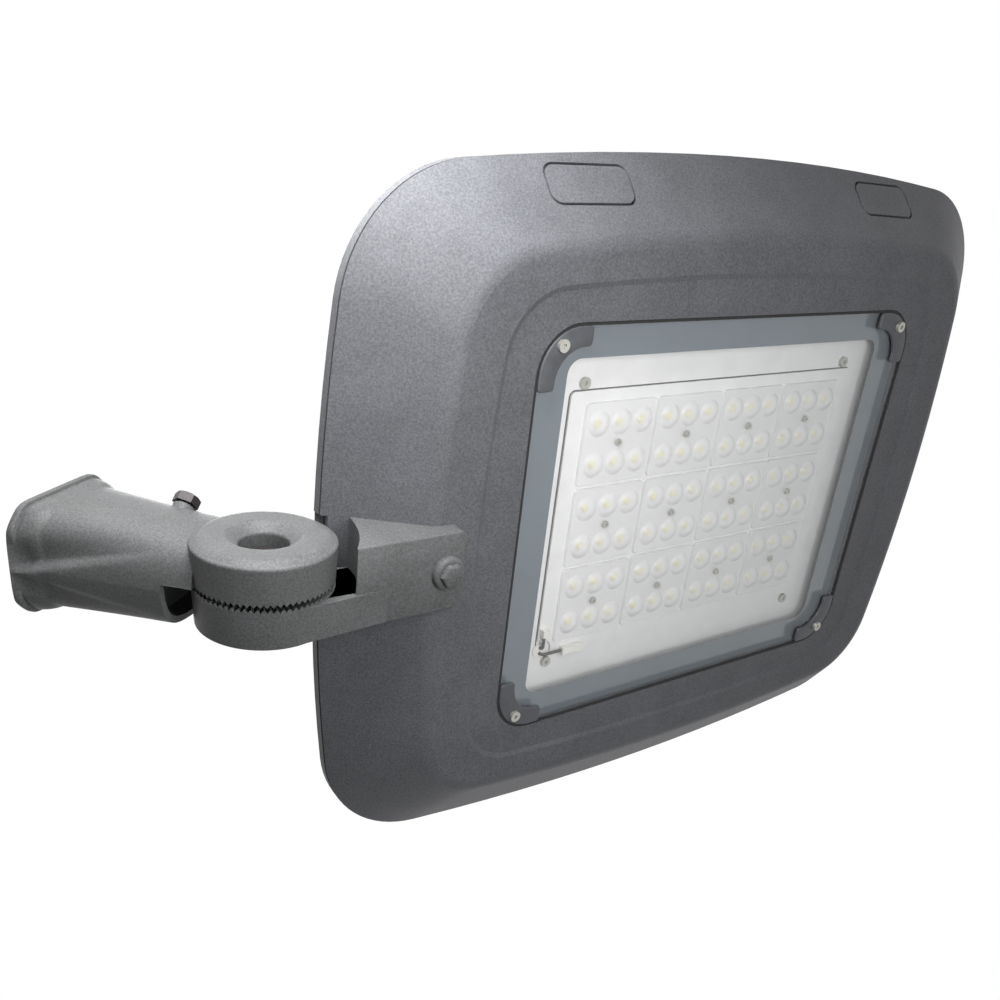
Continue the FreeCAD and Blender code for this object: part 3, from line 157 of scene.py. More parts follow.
def clearFinish(name, middle, edge, rough, milk=0.0):
    # clear glass or acrylic: seen straight through, a little darker edge on, and a mirror at a low angle;
    # the mirror's share is the face-on share plus the rest times the fifth power of one less the cosine,
    # and milk adds a share of white haze in place of the plain mirror, as a moulded lens has
    settings = {"Base Color": srgb("#ffffff"), "Metallic": 0.0 if milk else 1.0, "Roughness": rough}
    material, tree, shader = newFinish(name, settings)
    facing = addNode(tree, "ShaderNodeLayerWeight", {"Blend": 0.5})
    ramp = addNode(tree, "ShaderNodeValToRGB", None, [(0, facing, "Facing")])
    for element, position, code in zip(ramp.color_ramp.elements, clear["toneEnds"], (middle, edge)):
        element.position = position
        element.color = srgb(code)
    through = addNode(tree, "ShaderNodeBsdfTransparent", None, [("Color", ramp, 0)])
    power = {"operation": "POWER", 1: clear["steepness"]}
    steep = addNode(tree, "ShaderNodeMath", power, [(0, facing, "Facing")])
    least = clear["faceOn"] + milk
    rise = {"operation": "MULTIPLY_ADD", 1: 1 - least, 2: least}
    mirror = addNode(tree, "ShaderNodeMath", rise, [(0, steep, 0)])
    mix = addNode(tree, "ShaderNodeMixShader", None, [(0, mirror, 0), (1, through, 0), (2, shader, 0)])
    tree.links.new(mix.outputs[0], tree.nodes["Material Output"].inputs["Surface"])
    return material


# after the colour, a smooth coat has its roughness, its spread of tone and the millimetres of its blotches
finishes = {
    "housing_coat": powderCoat("powderCoatGrey", "#4a4b4e", "#5f6064"),  # mid grey, a touch blue
    "arm_coat": powderCoat("powderCoatArm", "#484949", "#5d5e5f"),  # the same grit, neutral grey
    "clip_coat": smoothCoat("darkClipEnamel", "#434549", 0.45, 0.1, 5.0),  # satin, darker than the housing
    "black_rubber": smoothCoat("epdmRubber", "#141414", 0.75, 0.2, 2.0),  # dull black, hardly a highlight
    "clear_glass": clearFinish("toughenedGlass", "#ffffff", "#eef1f1", 0.02),  # sharp mirror at low angles
    "slate_print": smoothCoat("slateEnamelPrint", "#687178", 0.3, 0.05, 30.0),  # even blue-grey behind glass
    "white_coat": smoothCoat("whiteReflectorCoat", "#e3e3e3", 0.5, 0.03, 12.0),  # soft white, no glare
    "clear_lens": clearFinish("acrylicLens", "#ffffff", "#f3f4f4", 0.12, 0.36),  # hazy, soft highlights
    "yellow_chip": smoothCoat("phosphorResin", "#c4b660", 0.35, 0.12, 2.0),  # pale yellow, a little wet
    "grey_lead": smoothCoat("siliconeSleeve", "#474745", 0.55, 0.05, 3.0),  # dull, soft grey
    "white_plastic": smoothCoat("whiteNylon", "#e4e3dd", 0.45, 0.04, 4.0),  # warm white, satin
    "driver_case": smoothCoat("castDriverCase", "#a9abad", 0.4, 0.08, 6.0, metallic=1.0),  # bare dull metal
    "black_plastic": smoothCoat("blackNylon", "#1b1b1c", 0.5, 0.15, 3.0),  # black, satin
    "dark_steel": smoothCoat("darkZincSteel", "#221d1e", 0.5, 0.15, 3.0, metallic=0.3),  # brownish black
    "bright_steel": smoothCoat("stainlessSteel", "#b9b8b1", 0.4, 0.08, 2.0, metallic=0.75),  # dull silver
}
slotOf = {row["node"]: row["material_slot"] for row in record["subparts"]}
for name, piece in nodes.items():
    piece.data.materials.clear()
    piece.data.materials.append(finishes[slotOf[name]])
nodes["wire_grommet"].data.materials[0] = finishes["white_plastic"]  # it matches the tray
print("finishes:", len(finishes))


# surfaces from grids of points
meshing = {"merge": 2e-6, "sliver": 1e-7, "sharp": 38.0}  # metres, metres and degrees
roundSteps = 6  # points on each rounded corner


def gridFaces(rows, cols, wrap):
    # quads between neighbouring rows and columns; wrap joins the last column to the first
    row, col = np.meshgrid(np.arange(rows - 1), np.arange(cols if wrap else cols - 1), indexing="ij")
    here = row * cols + col
    beside = row * cols + (col + 1) % cols
    return np.stack([here, beside, beside + cols, here + cols], axis=-1).reshape(-1, 4)


def newPiece(name, grids, slotName, body, stands, sharp=meshing["sharp"], wrap=True):
    # one mesh from grids of points in metres: equal points are merged, open ends filled and faces turned
    # outwards; it stands for the listed nodes, if any
    points = np.concatenate([grid.reshape(-1, 3) for grid in grids])
    starts = np.cumsum([0] + [grid.shape[0] * grid.shape[1] for grid in grids[:-1]])
    faces = np.concatenate([gridFaces(*grid.shape[:2], wrap) + start for grid, start in zip(grids, starts)])
    mesh = bpy.data.meshes.new(name)
    mesh.vertices.add(len(points))
    mesh.vertices.foreach_set("co", points.ravel())
    mesh.loops.add(faces.size)
    mesh.loops.foreach_set("vertex_index", faces.ravel())
    mesh.polygons.add(len(faces))
    mesh.polygons.foreach_set("loop_start", np.arange(0, faces.size, 4))
    mesh.update(calc_edges=True)
    work = bmesh.new()
    work.from_mesh(mesh)
    bmesh.ops.remove_doubles(work, verts=work.verts, dist=meshing["merge"])
    bmesh.ops.dissolve_degenerate(work, edges=work.edges, dist=meshing["sliver"])
    bmesh.ops.holes_fill(work, edges=[edge for edge in work.edges if edge.is_boundary], sides=0)
    bmesh.ops.recalc_face_normals(work, faces=work.faces)
    work.to_mesh(mesh)
    work.free()
    mesh.polygons.foreach_set("use_smooth", np.ones(len(mesh.polygons), dtype=bool))
    mesh.set_sharp_from_angle(angle=math.radians(sharp))
    mesh.materials.append(finishes[slotName])
    piece = bpy.data.objects.new(name, mesh)
    scene.collection.objects.link(piece)
    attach(piece, body)
    if stands:
        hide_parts(*stands)


def rounded(corners, cuts):
    # each corner of an open line becomes a parabola that starts and ends its cut away along both runs
    corners = np.asarray(corners, float)
    cuts = np.asarray(cuts, float)[:, None, None]
    back = np.roll(corners, 1, 0) - corners
    ahead = np.roll(corners, -1, 0) - corners
    back[0], ahead[-1] = 0, 0
    first, last = (
        (run / np.maximum(np.linalg.norm(run, axis=1, keepdims=True), tiny))[:, None, :] * cuts
        for run in (back, ahead)
    )
    t = np.linspace(0, 1, roundSteps)[None, :, None]
    curve = corners[:, None, :] + (1 - t) ** 2 * first + t ** 2 * last
    return curve.reshape(-1, corners.shape[1])


def evenAngles(count):
    # equal steps once round, without a last one that repeats the first
    return np.linspace(0, fullTurn, count, endpoint=False)


def hexSwell(angle):
    # a six-sided outline over its flats: one over the cosine of the angle from the nearest flat's middle
    return 1 / np.cos(angle % (fullTurn / 6) - fullTurn / 12)


def turned(profile, turnAxes, centre, cols, wave=0.0, sixSided=0):
    # a profile of (radius, height) carried round an axis; wave adds a height that changes with the angle,
    # and rows marked six-sided swell towards their corners
    across, beside, along = np.asarray(turnAxes, float)
    angle = evenAngles(cols)
    ring = np.cos(angle)[:, None] * across + np.sin(angle)[:, None] * beside
    radius = profile[:, 0:1] * np.where(np.reshape(sixSided, (-1, 1)), hexSwell(angle), 1.0)
    height = profile[:, 1:2] + wave
    return (np.asarray(centre) + radius[..., None] * ring + height[..., None] * along) * mm


def between(start, end, share):
    # a straight run from start to end
    return start + (end - start) * share


# the two frames of the assembly, in millimetres
glassLow, glassHigh = (np.array(corner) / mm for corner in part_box("glass_panel"))
headOrigin = np.array([*(glassLow + glassHigh)[:2] / 2, glassLow[2]])
headAxes = np.identity(3)
hinge = np.array(frame["joints"][0]["pos_m"]) / mm
hingeX, hingeZ = (hinge - headOrigin)[[0, 2]]
reach = np.linalg.norm(hinge)
poleZ = hinge / reach
poleY = headAxes[1]
poleX = np.cross(poleY, poleZ)


def onPole(local):
    # from the socket's own axes, with its mouth at zero, to the part's frame in metres
    return (local[..., 0:1] * poleX + local[..., 1:2] * poleY + local[..., 2:3] * poleZ) * mm


def onHead(local):
    # from the head's own axes, with the glass front at zero, to the part's frame in metres
    return (local + headOrigin) * mm


# the two toothed lugs of the knuckle; rim is (inwards, down)
knuckle = {
    "radius": 37.6, "draft": 0.9, "upperHeight": 24.0, "lowerHeight": 22.8, "pivot": 6.3,
    "rim": (5.5, 3.2), "rimRounds": (1.6, 1.1), "sinkRadius": 19.5, "sinkDepth": 5.0, "sinkRound": 1.2,
    "wellRadius": 13.0, "wellFloor": 6.0, "wellRounds": (0.3, 0.6),
    "nutRoom": 10.7, "nutDepth": 9.0, "nutRounds": (0.2, 0.6), "footRound": 0.8,
    "toothCount": 72, "toothCols": 4, "toothHeight": 1.9, "toothGap": 0.55,
    "toothInner": 22.0, "toothRoot": 1.0,
}
toothValley = knuckle["toothGap"] + knuckle["toothHeight"]
toothBack = toothValley + knuckle["toothRoot"]


def knuckleLug(side, corners, halfTeeth):
    # a lug turned about the hinge from corners of (radius, height, rounding, toothed): on the toothed ones a
    # zigzag is taken off the height, in proportion to the radius, and it starts so many half teeth on
    corners = np.array(corners, float)
    outline = rounded(corners[:, :2], corners[:, 2])
    cols = knuckle["toothCount"] * knuckle["toothCols"]
    half = knuckle["toothCols"] / 2
    zigzag = np.abs((np.arange(cols) + halfTeeth * half) % knuckle["toothCols"] - half) / half
    share = np.repeat(corners[:, 3], roundSteps) * outline[:, 0] / knuckle["radius"]
    wave = -share[:, None] * zigzag[None, :] * knuckle["toothHeight"]
    lugAxes = (poleX, np.cross(poleX, poleY) * side, poleY * side)
    return turned(outline, lugAxes, hinge, cols, wave)


def upperLug():
    # the profile of a well for the bolt, a dished mouth, a broad sloping rim and a toothed underside
    top = knuckle["upperHeight"]
    corners = [
        (knuckle["pivot"], toothBack, 0, 0),
        (knuckle["pivot"], knuckle["wellFloor"], knuckle["wellRounds"][0], 0),
        (knuckle["wellRadius"], knuckle["wellFloor"], knuckle["wellRounds"][1], 0),
        (knuckle["wellRadius"], top - knuckle["sinkDepth"], knuckle["sinkRound"], 0),
        (knuckle["sinkRadius"], top, knuckle["sinkRound"], 0),
        (knuckle["radius"] - knuckle["rim"][0], top, knuckle["rimRounds"][0], 0),
        (knuckle["radius"], top - knuckle["rim"][1], knuckle["rimRounds"][1], 0),
        (knuckle["radius"] - knuckle["draft"], toothValley, 0, 1),
        (knuckle["toothInner"], toothValley, 0, 1),
        (knuckle["toothInner"], toothBack, 0, 0),
        (knuckle["pivot"], toothBack, 0, 0),
    ]
    return knuckleLug(-1, corners, 0)


def lowerLug():
    # the profile of a toothed top, a plain rim and a room for the nut underneath, drawn round
    foot = knuckle["lowerHeight"]
    narrow = knuckle["radius"] - knuckle["draft"]
    corners = [
        (knuckle["pivot"], toothBack, 0, 0),
        (knuckle["pivot"], foot - knuckle["nutDepth"], 0, 0),
        (knuckle["nutRoom"], foot - knuckle["nutDepth"], knuckle["nutRounds"][0], 0),
        (knuckle["nutRoom"], foot, knuckle["nutRounds"][1], 0),
        (narrow - knuckle["draft"], foot, knuckle["footRound"], 0),
        (narrow, toothValley, 0, 1),
        (knuckle["toothInner"], toothValley, 0, 1),
        (knuckle["toothInner"], toothBack, 0, 0),
        (knuckle["pivot"], toothBack, 0, 0),
    ]
    return knuckleLug(1, corners, 1)


# the cast pole socket: pairs run from mouth to neck, and lip rows are (along, outwards)
socket = {
    "bore": 21.65, "boreDepth": 68.0, "boreChamfer": 1.2,
    "halfSizes": ((40.0, 31.0), (30.5, 25.0)), "shifts": ((2.5, 0.0), (3.0, 3.0)), "cornerCut": (12.0, 8.0),
    "neckStart": 98.0, "neckEnd": 100.0, "neckCut": 40.5, "neckCap": 6.0, "cutFace": 0.8,
    "pocket": (3.2, 12.0),  # wall and depth
    "lipRise": 1.2, "lipLength": 3.5, "lipSides": (0.3, 0.45), "crisp": (22.0, 6.0), "soften": 12.0,
    "lipFront": ((0.0, -0.9), (0.25, -0.3), (0.9, 0.0)),
    "lipBack": ((-0.6, 0.0), (-0.1, -0.3)),
    "lipGroove": ((0.2, -0.35), (0.9, -0.4), (1.6, -0.1)),
    "bodyStart": 2.6, "bodyRows": 60, "neckRows": 14, "cols": 288,
    "creaseRun": 9.0, "creaseSides": 4.0,
    "creases": (
        {"start": 2.6, "slope": -0.245, "depth": 6.5, "end": 88.0, "above": 12.0, "below": 2.6},
        {"start": 9.3, "slope": 0.152, "depth": 3.6, "end": 80.0, "above": 3.0, "below": 12.0},
    ),
}


def socketSection(along, grow):
    # a rectangle with cut corners that shrinks from the mouth to the neck: the powers of one over the
    # distances to its sides and cuts are summed, and the root of the sum is one over the radius; a high
    # power keeps the lip crisp, and a lower one rounds the body; the lip leaves the two flat sides bare, and
    # two creases fan out along them, each a bell curve with a long slope and a short one
    along, grow = (np.asarray(value, float)[:, None] for value in (along, grow))
    share = np.clip(along / socket["neckStart"], 0, 1)
    behindLip = np.clip((along - socket["lipLength"]) / socket["soften"], 0, 1)
    cut = between(*socket["cornerCut"], share)
    power = between(*socket["crisp"], behindLip)
    angle = evenAngles(socket["cols"])[None, :]
    level, upright = np.abs(np.cos(angle)), np.abs(np.sin(angle))
    bare, full = socket["lipSides"]
    lipShare = np.where(along < socket["soften"], np.clip((upright - bare) / (full - bare), 0, 1), 1)
    wide, high = (between(*ends, share) + grow * lipShare for ends in socket["halfSizes"])
    nearness = (level / wide) ** power + (upright / high) ** power
    radius = (nearness + ((level + upright) / (wide + high - cut)) ** power) ** (-1 / power)
    shiftX, shiftY = (between(*ends, share) for ends in socket["shifts"])
    x, y = radius * np.cos(angle) + shiftX, radius * np.sin(angle) + shiftY
    creaseIn = np.sin(np.clip(along / socket["creaseRun"], 0, 1) * math.pi / 2)
    dip = np.zeros_like(y)
    for crease in socket["creases"]:
        off = y - crease["start"] - crease["slope"] * along
        spread = np.where(off < 0, crease["above"], crease["below"])
        fade = np.clip(1 - along / crease["end"], 0, 1) * creaseIn
        dip = np.maximum(dip, crease["depth"] * fade * np.exp(-(off / spread) ** 2))
    x = x - np.sign(np.cos(angle)) * dip * np.clip(level * socket["creaseSides"], 0, 1)
    return np.stack([x, y, np.repeat(along, socket["cols"], axis=1)], axis=-1)


def socketBody():
    # from the bottom of the bore out round the lip and along the outside to the neck, which is halved beside
    # the lug; the lower half ends in a shallow cored pocket
    bore, chamfer = socket["bore"], socket["boreChamfer"]
    depth = socket["boreDepth"]
    inner = np.array([(0.0, depth), (bore, depth), (bore, chamfer), (bore + chamfer, 0.0)])
    angle = evenAngles(socket["cols"])
    ring = np.stack([np.cos(angle), np.sin(angle)], axis=-1)
    level = np.repeat(inner[:, 1, None, None], socket["cols"], axis=1)
    inside = np.concatenate([inner[:, 0, None, None] * ring, level], axis=-1)
    rise, length = socket["lipRise"], socket["lipLength"]
    front, back, groove = (np.array(socket[key]) for key in ("lipFront", "lipBack", "lipGroove"))
    lip = np.concatenate([front + (0, rise), back + (length, rise), groove + (length, 0)])
    cut = reach - socket["neckCut"]
    body = np.linspace(length + socket["bodyStart"], cut, socket["bodyRows"])
    outer = socketSection(np.r_[lip[:, 0], body], np.r_[lip[:, 1], np.zeros(len(body))])
    face, end = socket["cutFace"], socket["neckEnd"]
    beyond = np.r_[np.linspace(cut, end, socket["neckRows"]), end]
    half = socketSection(beyond, np.zeros(len(beyond)))
    half[..., 1] = np.minimum(half[..., 1], -face)
    half[-1] = np.array([0.0, -face - socket["neckCap"], end])
    wall, deep = socket["pocket"]
    below = outer[-1:, :, 1:2] > -face
    pocketRim = np.where(below, socketSection([cut], [-wall]), outer[-1:])
    pocketFloor = pocketRim - below * np.array([0, 0, deep])
    pocketRoof = np.where(below, pocketFloor * np.array([1, 0, 1]) - np.array([0, face, 0]), pocketFloor)
    return onPole(np.concatenate([inside, outer, pocketRim, pocketFloor, pocketRoof, half]))


# set screws that clamp the pole, each on a low round seat; spots are (along the socket, degrees round it)
setScrew = {
    "spots": ((63.0, 220.0), (63.0, 140.0), (24.0, 180.0)), "turn": 20.0, "cols": 48,
    "seatRadius": 6.2, "seatRise": 31.2, "seatRound": 1.6, "seatRoot": 4.0,
    "shank": 4.0, "tip": 22.0, "collar": 5.0, "collarRise": 0.5, "collarRoot": 1.0,
    "flats": 13.0, "head": 5.6, "crown": 0.94, "crownAngle": 30.0, "sharp": 30.0,
}


def screwAxes(turn):
    # the directions across, beside and along a screw that points out of the socket at this angle
    out = math.cos(math.radians(turn)) * poleX + math.sin(math.radians(turn)) * poleY
    beside = np.cross(out, poleZ)
    spin = math.radians(setScrew["turn"])
    across = math.cos(spin) * poleZ + math.sin(spin) * beside
    return across, math.cos(spin) * beside - math.sin(spin) * poleZ, out


def socketSeats():
    # a cylinder with a rounded rim, from inside the wall to the seat of each screw
    radius, rise = setScrew["seatRadius"], setScrew["seatRise"]
    low = socket["bore"] + setScrew["seatRoot"]
    corners = [(0, low), (radius, low), (radius, rise), (0, rise)]
    profile = rounded(corners, [0, 0, setScrew["seatRound"], 0])
    cols = setScrew["cols"]
    return [turned(profile, screwAxes(turn), poleZ * along, cols) for along, turn in setScrew["spots"]]


def hexScrew(along, turn):
    # a shank and collar, and a six-sided head whose top corners are cut by a cone;
    # rows are (radius, height, six-sided, on the cone)
    shank, collar = setScrew["shank"], setScrew["collar"]
    flat = setScrew["flats"] / 2
    crown = setScrew["crown"]
    root = setScrew["seatRise"] - setScrew["collarRoot"]
    seat = setScrew["seatRise"] + setScrew["collarRise"]
    top = seat + setScrew["head"]
    rows = np.array([
        (0, setScrew["tip"], 0, 0), (shank, setScrew["tip"], 0, 0), (shank, root, 0, 0),
        (collar, root, 0, 0), (collar, seat, 0, 0), (flat, seat, 1, 0),
        (flat, top, 1, 1), (flat * crown, top, 0, 0), (0, top, 0, 0),
    ])
    cols = setScrew["cols"]
    steepness = math.tan(math.radians(setScrew["crownAngle"]))
    fall = flat * (hexSwell(evenAngles(cols)) - crown) * steepness
    cone = -rows[:, 3:4] * fall[None, :]
    return turned(rows, screwAxes(turn), poleZ * along, cols, cone, rows[:, 2])


setScrews = [hexScrew(along, turn) for along, turn in setScrew["spots"]]
newPiece("poleSetScrews", setScrews, "dark_steel", "socket", ["pole_set_screws"], setScrew["sharp"])
newPiece("castPoleSocket", [socketBody(), upperLug()] + socketSeats(), "arm_coat", "socket", ["slip_fitter"])
print("pole socket built")


# the bracket that carries the head: crest and rim are points (x, z) of the bevel that it stands on,
# and edge rows are (share of the depth, share of the edge)
bracket = {
    "front": 11.0, "halfWidth": 22.4, "draft": 4.6, "tip": -202.0, "heel": -284.0,
    "tipRound": 6.0, "tipSteps": 8, "room": 48.0, "floor": 3.0, "edge": 0.9, "sunk": 2.5,
    "crest": (-217.8, -2.3), "rim": (-270.5, 29.0),
    "edgeRows": ((0.0, 1.0), (0.012, 0.45), (0.035, 0.12), (0.07, 0.0)), "bodyStart": 0.1, "bodyRows": 12,
    "webEnd": -250.0, "webInset": 1.44,
}


def bracketPlate():
    # a plate's outline with a notch for the socket's lug, carried back into the bevel: the sides spread with
    # depth, the notch follows a circle about the hinge, and the front edge is stepped in to round it
    front, room, tipRound = bracket["front"], bracket["room"], bracket["tipRound"]
    halfWidth, heel, floorY = bracket["halfWidth"], bracket["heel"], bracket["floor"]
    crest, rim = bracket["crest"], bracket["rim"]
    turn = np.linspace(0, math.pi / 2, bracket["tipSteps"])
    tipX = bracket["tip"] - tipRound + tipRound * np.r_[np.sin(turn), np.cos(turn)]
    sideY = halfWidth - tipRound + tipRound * np.r_[np.cos(turn), np.sin(turn)]
    sideY = sideY * np.repeat((-1, 1), len(turn))
    neither = np.zeros(len(tipX) + 2)
    x = np.r_[hingeX, tipX, heel, heel, hingeX][None, :]
    y = np.r_[-halfWidth, sideY, halfWidth, floorY, floorY][None, :]
    atWall = np.r_[1, neither, 1][None, :]
    atSide = np.r_[-1, np.sign(sideY), 1, 0, 0][None, :]
    atFloor = np.r_[neither, 1, 1][None, :]
    edgeShare, edgeInset = np.transpose(bracket["edgeRows"])
    bodyShare = np.linspace(bracket["bodyStart"], 1, bracket["bodyRows"])
    share = np.r_[edgeShare, bodyShare][:, None]
    inset = bracket["edge"] * np.r_[edgeInset, np.zeros(len(bodyShare))][:, None]
    slope = (rim[1] - crest[1]) / (rim[0] - crest[0])
    deep = crest[1] + (x + atWall * room - crest[0]) * slope
    seat = np.clip(deep, crest[1], rim[1]) + bracket["sunk"]
    z = -front + (seat + front) * share
    spread = bracket["draft"] * (z + front) / (rim[1] + front)
    y = y + atSide * (spread - inset) + atFloor * inset
    wall = np.sqrt(np.maximum(room ** 2 - (z - hingeZ) ** 2, 0)) + inset
    x = x + atWall * wall - (x > bracket["tip"] - tipRound) * (1 - atWall) * inset
    return onHead(np.stack([x, y, z], axis=-1))


def bracketWeb():
    # a flat web that leaves the lug along its tangent and runs into the plate
    end, front = bracket["webEnd"], bracket["front"]
    run, drop = end - hingeX, hingeZ + front
    lug = knuckle["radius"] - bracket["webInset"]
    turn = math.atan2(drop, run) + math.acos(lug / math.hypot(run, drop))
    touch = (hingeX + lug * math.cos(turn), hingeZ - lug * math.sin(turn))
    x, z = np.transpose([(end, -front), touch, (hingeX, hingeZ), (end, hingeZ)])
    y = np.array([bracket["floor"], bracket["halfWidth"] - bracket["edge"] / 2])[:, None]
    return onHead(np.stack(np.broadcast_arrays(x, y, z), axis=-1))


# the bracket's painted bolt on its boss; coat steps are (inwards, below the top of the head)
bolt = {
    "x": -214.0, "cols": 48, "sharp": 50.0,
    "padRadius": 10.2, "padRise": 3.8, "padDraft": 0.9, "padRound": 2.4, "padRoot": 4.0,
    "shank": 3.0, "shankEnd": 12.0, "flat": 6.0, "head": 3.4, "sunk": 0.2,
    "coatSteps": ((0.0, 1.0), (0.3, 0.3), (1.0, 0.0)),
}
boltPlace = headOrigin + np.array([bolt["x"], 0, -bracket["front"]])


def boltPad():
    # a low boss under the bracket's hex bolt, a little narrower at its rim
    radius, rise, root = bolt["padRadius"], bolt["padRise"], bolt["padRoot"]
    corners = [(0, root), (radius, root), (radius - bolt["padDraft"], -rise), (0, -rise)]
    return turned(rounded(corners, [0, 0, bolt["padRound"], 0]), headAxes, boltPlace, bolt["cols"])


def coatedBolt():
    # a shank and a six-sided head, whose rim is stepped in under a thick coat;
    # rows are (radius, height, six-sided)
    shank, end, flat = bolt["shank"], bolt["shankEnd"], bolt["flat"]
    seat = bolt["sunk"] - bolt["padRise"]
    top = seat - bolt["head"]
    rim = [(flat - inwards, top + below, 1) for inwards, below in bolt["coatSteps"]]
    rows = np.array([(0, end, 0), (shank, end, 0), (shank, seat, 0), (flat, seat, 1), *rim, (0, top, 0)])
    return turned(rows, headAxes, boltPlace, bolt["cols"], sixSided=rows[:, 2])


newPiece("coatedBolt", [coatedBolt()], "arm_coat", "head", ["bracket_bolt"], bolt["sharp"])
bracketGrids = [lowerLug(), bracketPlate(), bracketWeb(), boltPad()]
newPiece("castBracket", bracketGrids, "arm_coat", "head", ["mounting_bracket"])
print("bracket built")


# corner clips of the glass, in the recess of the window
window = {"recess": np.array([161.4, 125.7]), "corner": 27.7, "seam": 1.5}
clip = {
    "arm": 34.0, "middle": 12.6, "bite": 19.0, "thick": 1.8, "edge": 0.7, "edgeSteps": 5, "soft": 2.2,
    "arcPoints": 60, "points": 240, "softReach": 12,
}


def clipSlab(outline):
    # a closed outline carried up from the clip's face to the glass, whose lower edge is rounded by stepping
    # in along the normals
    edge = clip["edge"]
    along = np.roll(outline, -1, 0) - np.roll(outline, 1, 0)
    normal = np.stack([along[:, 1], -along[:, 0]], axis=-1) / np.linalg.norm(along, axis=1, keepdims=True)
    turn = np.linspace(0, math.pi / 2, clip["edgeSteps"])
    inset = np.r_[edge * (1 - np.sin(turn)), 0]
    level = np.r_[-clip["thick"] + edge * (1 - np.cos(turn)), 0]
    flat = outline[None] - inset[:, None, None] * normal[None]
    return np.concatenate([flat, np.repeat(level[:, None, None], len(outline), axis=1)], axis=-1)


def clipOutline():
    # a band that follows the recess round its corner, inside the seam: the inner side is a smaller arc, and
    # both ends are cut square; then its points are spaced evenly and softened by a bell-shaped mean
    half = window["recess"] - window["seam"]
    corner = window["corner"] - window["seam"]
    turn = np.linspace(math.pi / 2, 0, clip["arcPoints"])
    ring = np.stack([np.cos(turn), np.sin(turn)], axis=-1)
    outer = half - corner + corner * ring
    middle = half - corner + (corner - clip["middle"] - clip["bite"]) * math.sqrt(0.5)
    inner = (middle + clip["bite"] * ring)[::-1]
    ends = half - clip["arm"]
    width = half - inner[[0, -1], [0, 1]]
    outline = np.concatenate([
        [(ends[0], half[1])], outer, [(half[0], ends[1])], [(half[0] - width[0], ends[1])],
        inner, [(ends[0], half[1] - width[1])],
    ])
    closed = np.concatenate([outline, outline[:1]])
    walked = np.r_[0, np.cumsum(np.linalg.norm(np.diff(closed, axis=0), axis=1))]
    stops = np.linspace(0, walked[-1], clip["points"], endpoint=False)
    even = np.stack([np.interp(stops, walked, closed[:, i]) for i in (0, 1)], axis=-1)
    shifts = np.arange(-clip["softReach"], clip["softReach"] + 1)
    weight = np.exp(-(shifts * walked[-1] / clip["points"] / clip["soft"]) ** 2)
    return sum(part * np.roll(even, -shift, 0) for part, shift in zip(weight / weight.sum(), shifts))


quarterClip = clipOutline()
for number, signs in enumerate(cornerSigns, 1):
    outline = quarterClip * np.array(signs)
    if signs[0] * signs[1] > 0:
        outline = outline[::-1]
    shape = onHead(clipSlab(outline))
    newPiece(f"glassClip{number}", [shape], "clip_coat", "head", [f"corner_clip_{number}"])
print("clips built")


# the printed border of the glass with its clear window, the seal round it, and a grey ring painted as the shadow
# gap round the LED board
border = {"play": 0.4, "clear": (135.8, 105.8), "clearRound": 9.0, "low": 4.03, "high": 4.4, "arcPoints": 16}
seal = {"low": -0.9, "high": -0.02}
boardShadowLine = {
    "outside": 0.65, "outerRound": 4.0, "inside": 0.05, "innerRound": 3.0, "low": -0.4, "high": -0.02,
}


def roundOutline(half, corner):
    # the four corner arcs of a rectangle in turn, joined by straight sides
    turn = np.linspace(0, math.pi / 2, border["arcPoints"])
    arc = np.stack([half[0] - corner * (1 - np.cos(turn)), half[1] - corner * (1 - np.sin(turn))], axis=-1)
    return np.concatenate([arc, (arc * (-1, 1))[::-1], arc * (-1, -1), (arc * (1, -1))[::-1]])


def flatRing(outer, inner, low, high):
    # a thin section carried round between two outlines with matched points
    corners = ((outer, low), (outer, high), (inner, high), (inner, low), (outer, low))
    return np.stack([np.c_[loop, np.full(len(loop), level)] for loop, level in corners])


def recessOutline(inset):
    # the window's recess, drawn in all round
    return roundOutline(window["recess"] - inset, window["corner"] - inset)


sealRing = flatRing(recessOutline(0.0), recessOutline(window["seam"]), seal["low"], seal["high"])
newPiece("glassSealLip", [onHead(sealRing)], "black_rubber", "head", [])
boardLow, boardHigh = (np.array(corner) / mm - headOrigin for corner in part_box("led_board"))
boardHalf = (boardHigh - boardLow)[:2] / 2
# a thin grey ring just outside the LED board, in the leads' grey finish, is painted shade: it stands for the
# shadow gap where the board stands proud of the tray
shadowLineOuter = roundOutline(boardHalf + boardShadowLine["outside"], boardShadowLine["outerRound"])
shadowLineInner = roundOutline(boardHalf + boardShadowLine["inside"], boardShadowLine["innerRound"])
boardShadowRing = flatRing(shadowLineOuter, shadowLineInner, *(boardHigh[2] + boardShadowLine[key] for key in ("low", "high")))
newPiece("boardPaintedShadow", [onHead(boardShadowRing)], "grey_lead", "head", [])
clearEdge = roundOutline(border["clear"], border["clearRound"])
printRing = flatRing(recessOutline(border["play"]), clearEdge, border["low"], border["high"])
newPiece("slateBorder", [onHead(printRing)], "slate_print", "head", ["glass_border"])
print("glass border built")


# lens modules over the board, and a chip under each dome; dome is (radius, rise)
lens = {
    "base": 1.8, "corner": 3.0, "dome": (7.7, 4.2), "pitch": (17.1, 24.8), "skirt": 0.05, "grid": (112, 104),
}
chip = {"radius": 2.6, "rise": 0.9, "round": 0.5, "sunk": 0.1, "cols": 20}
pitchX, pitchY = lens["pitch"]
domePlaces = [(column * pitchX, row * pitchY / 2) for row in (-1, 1) for column in (-1, 0, 1)]


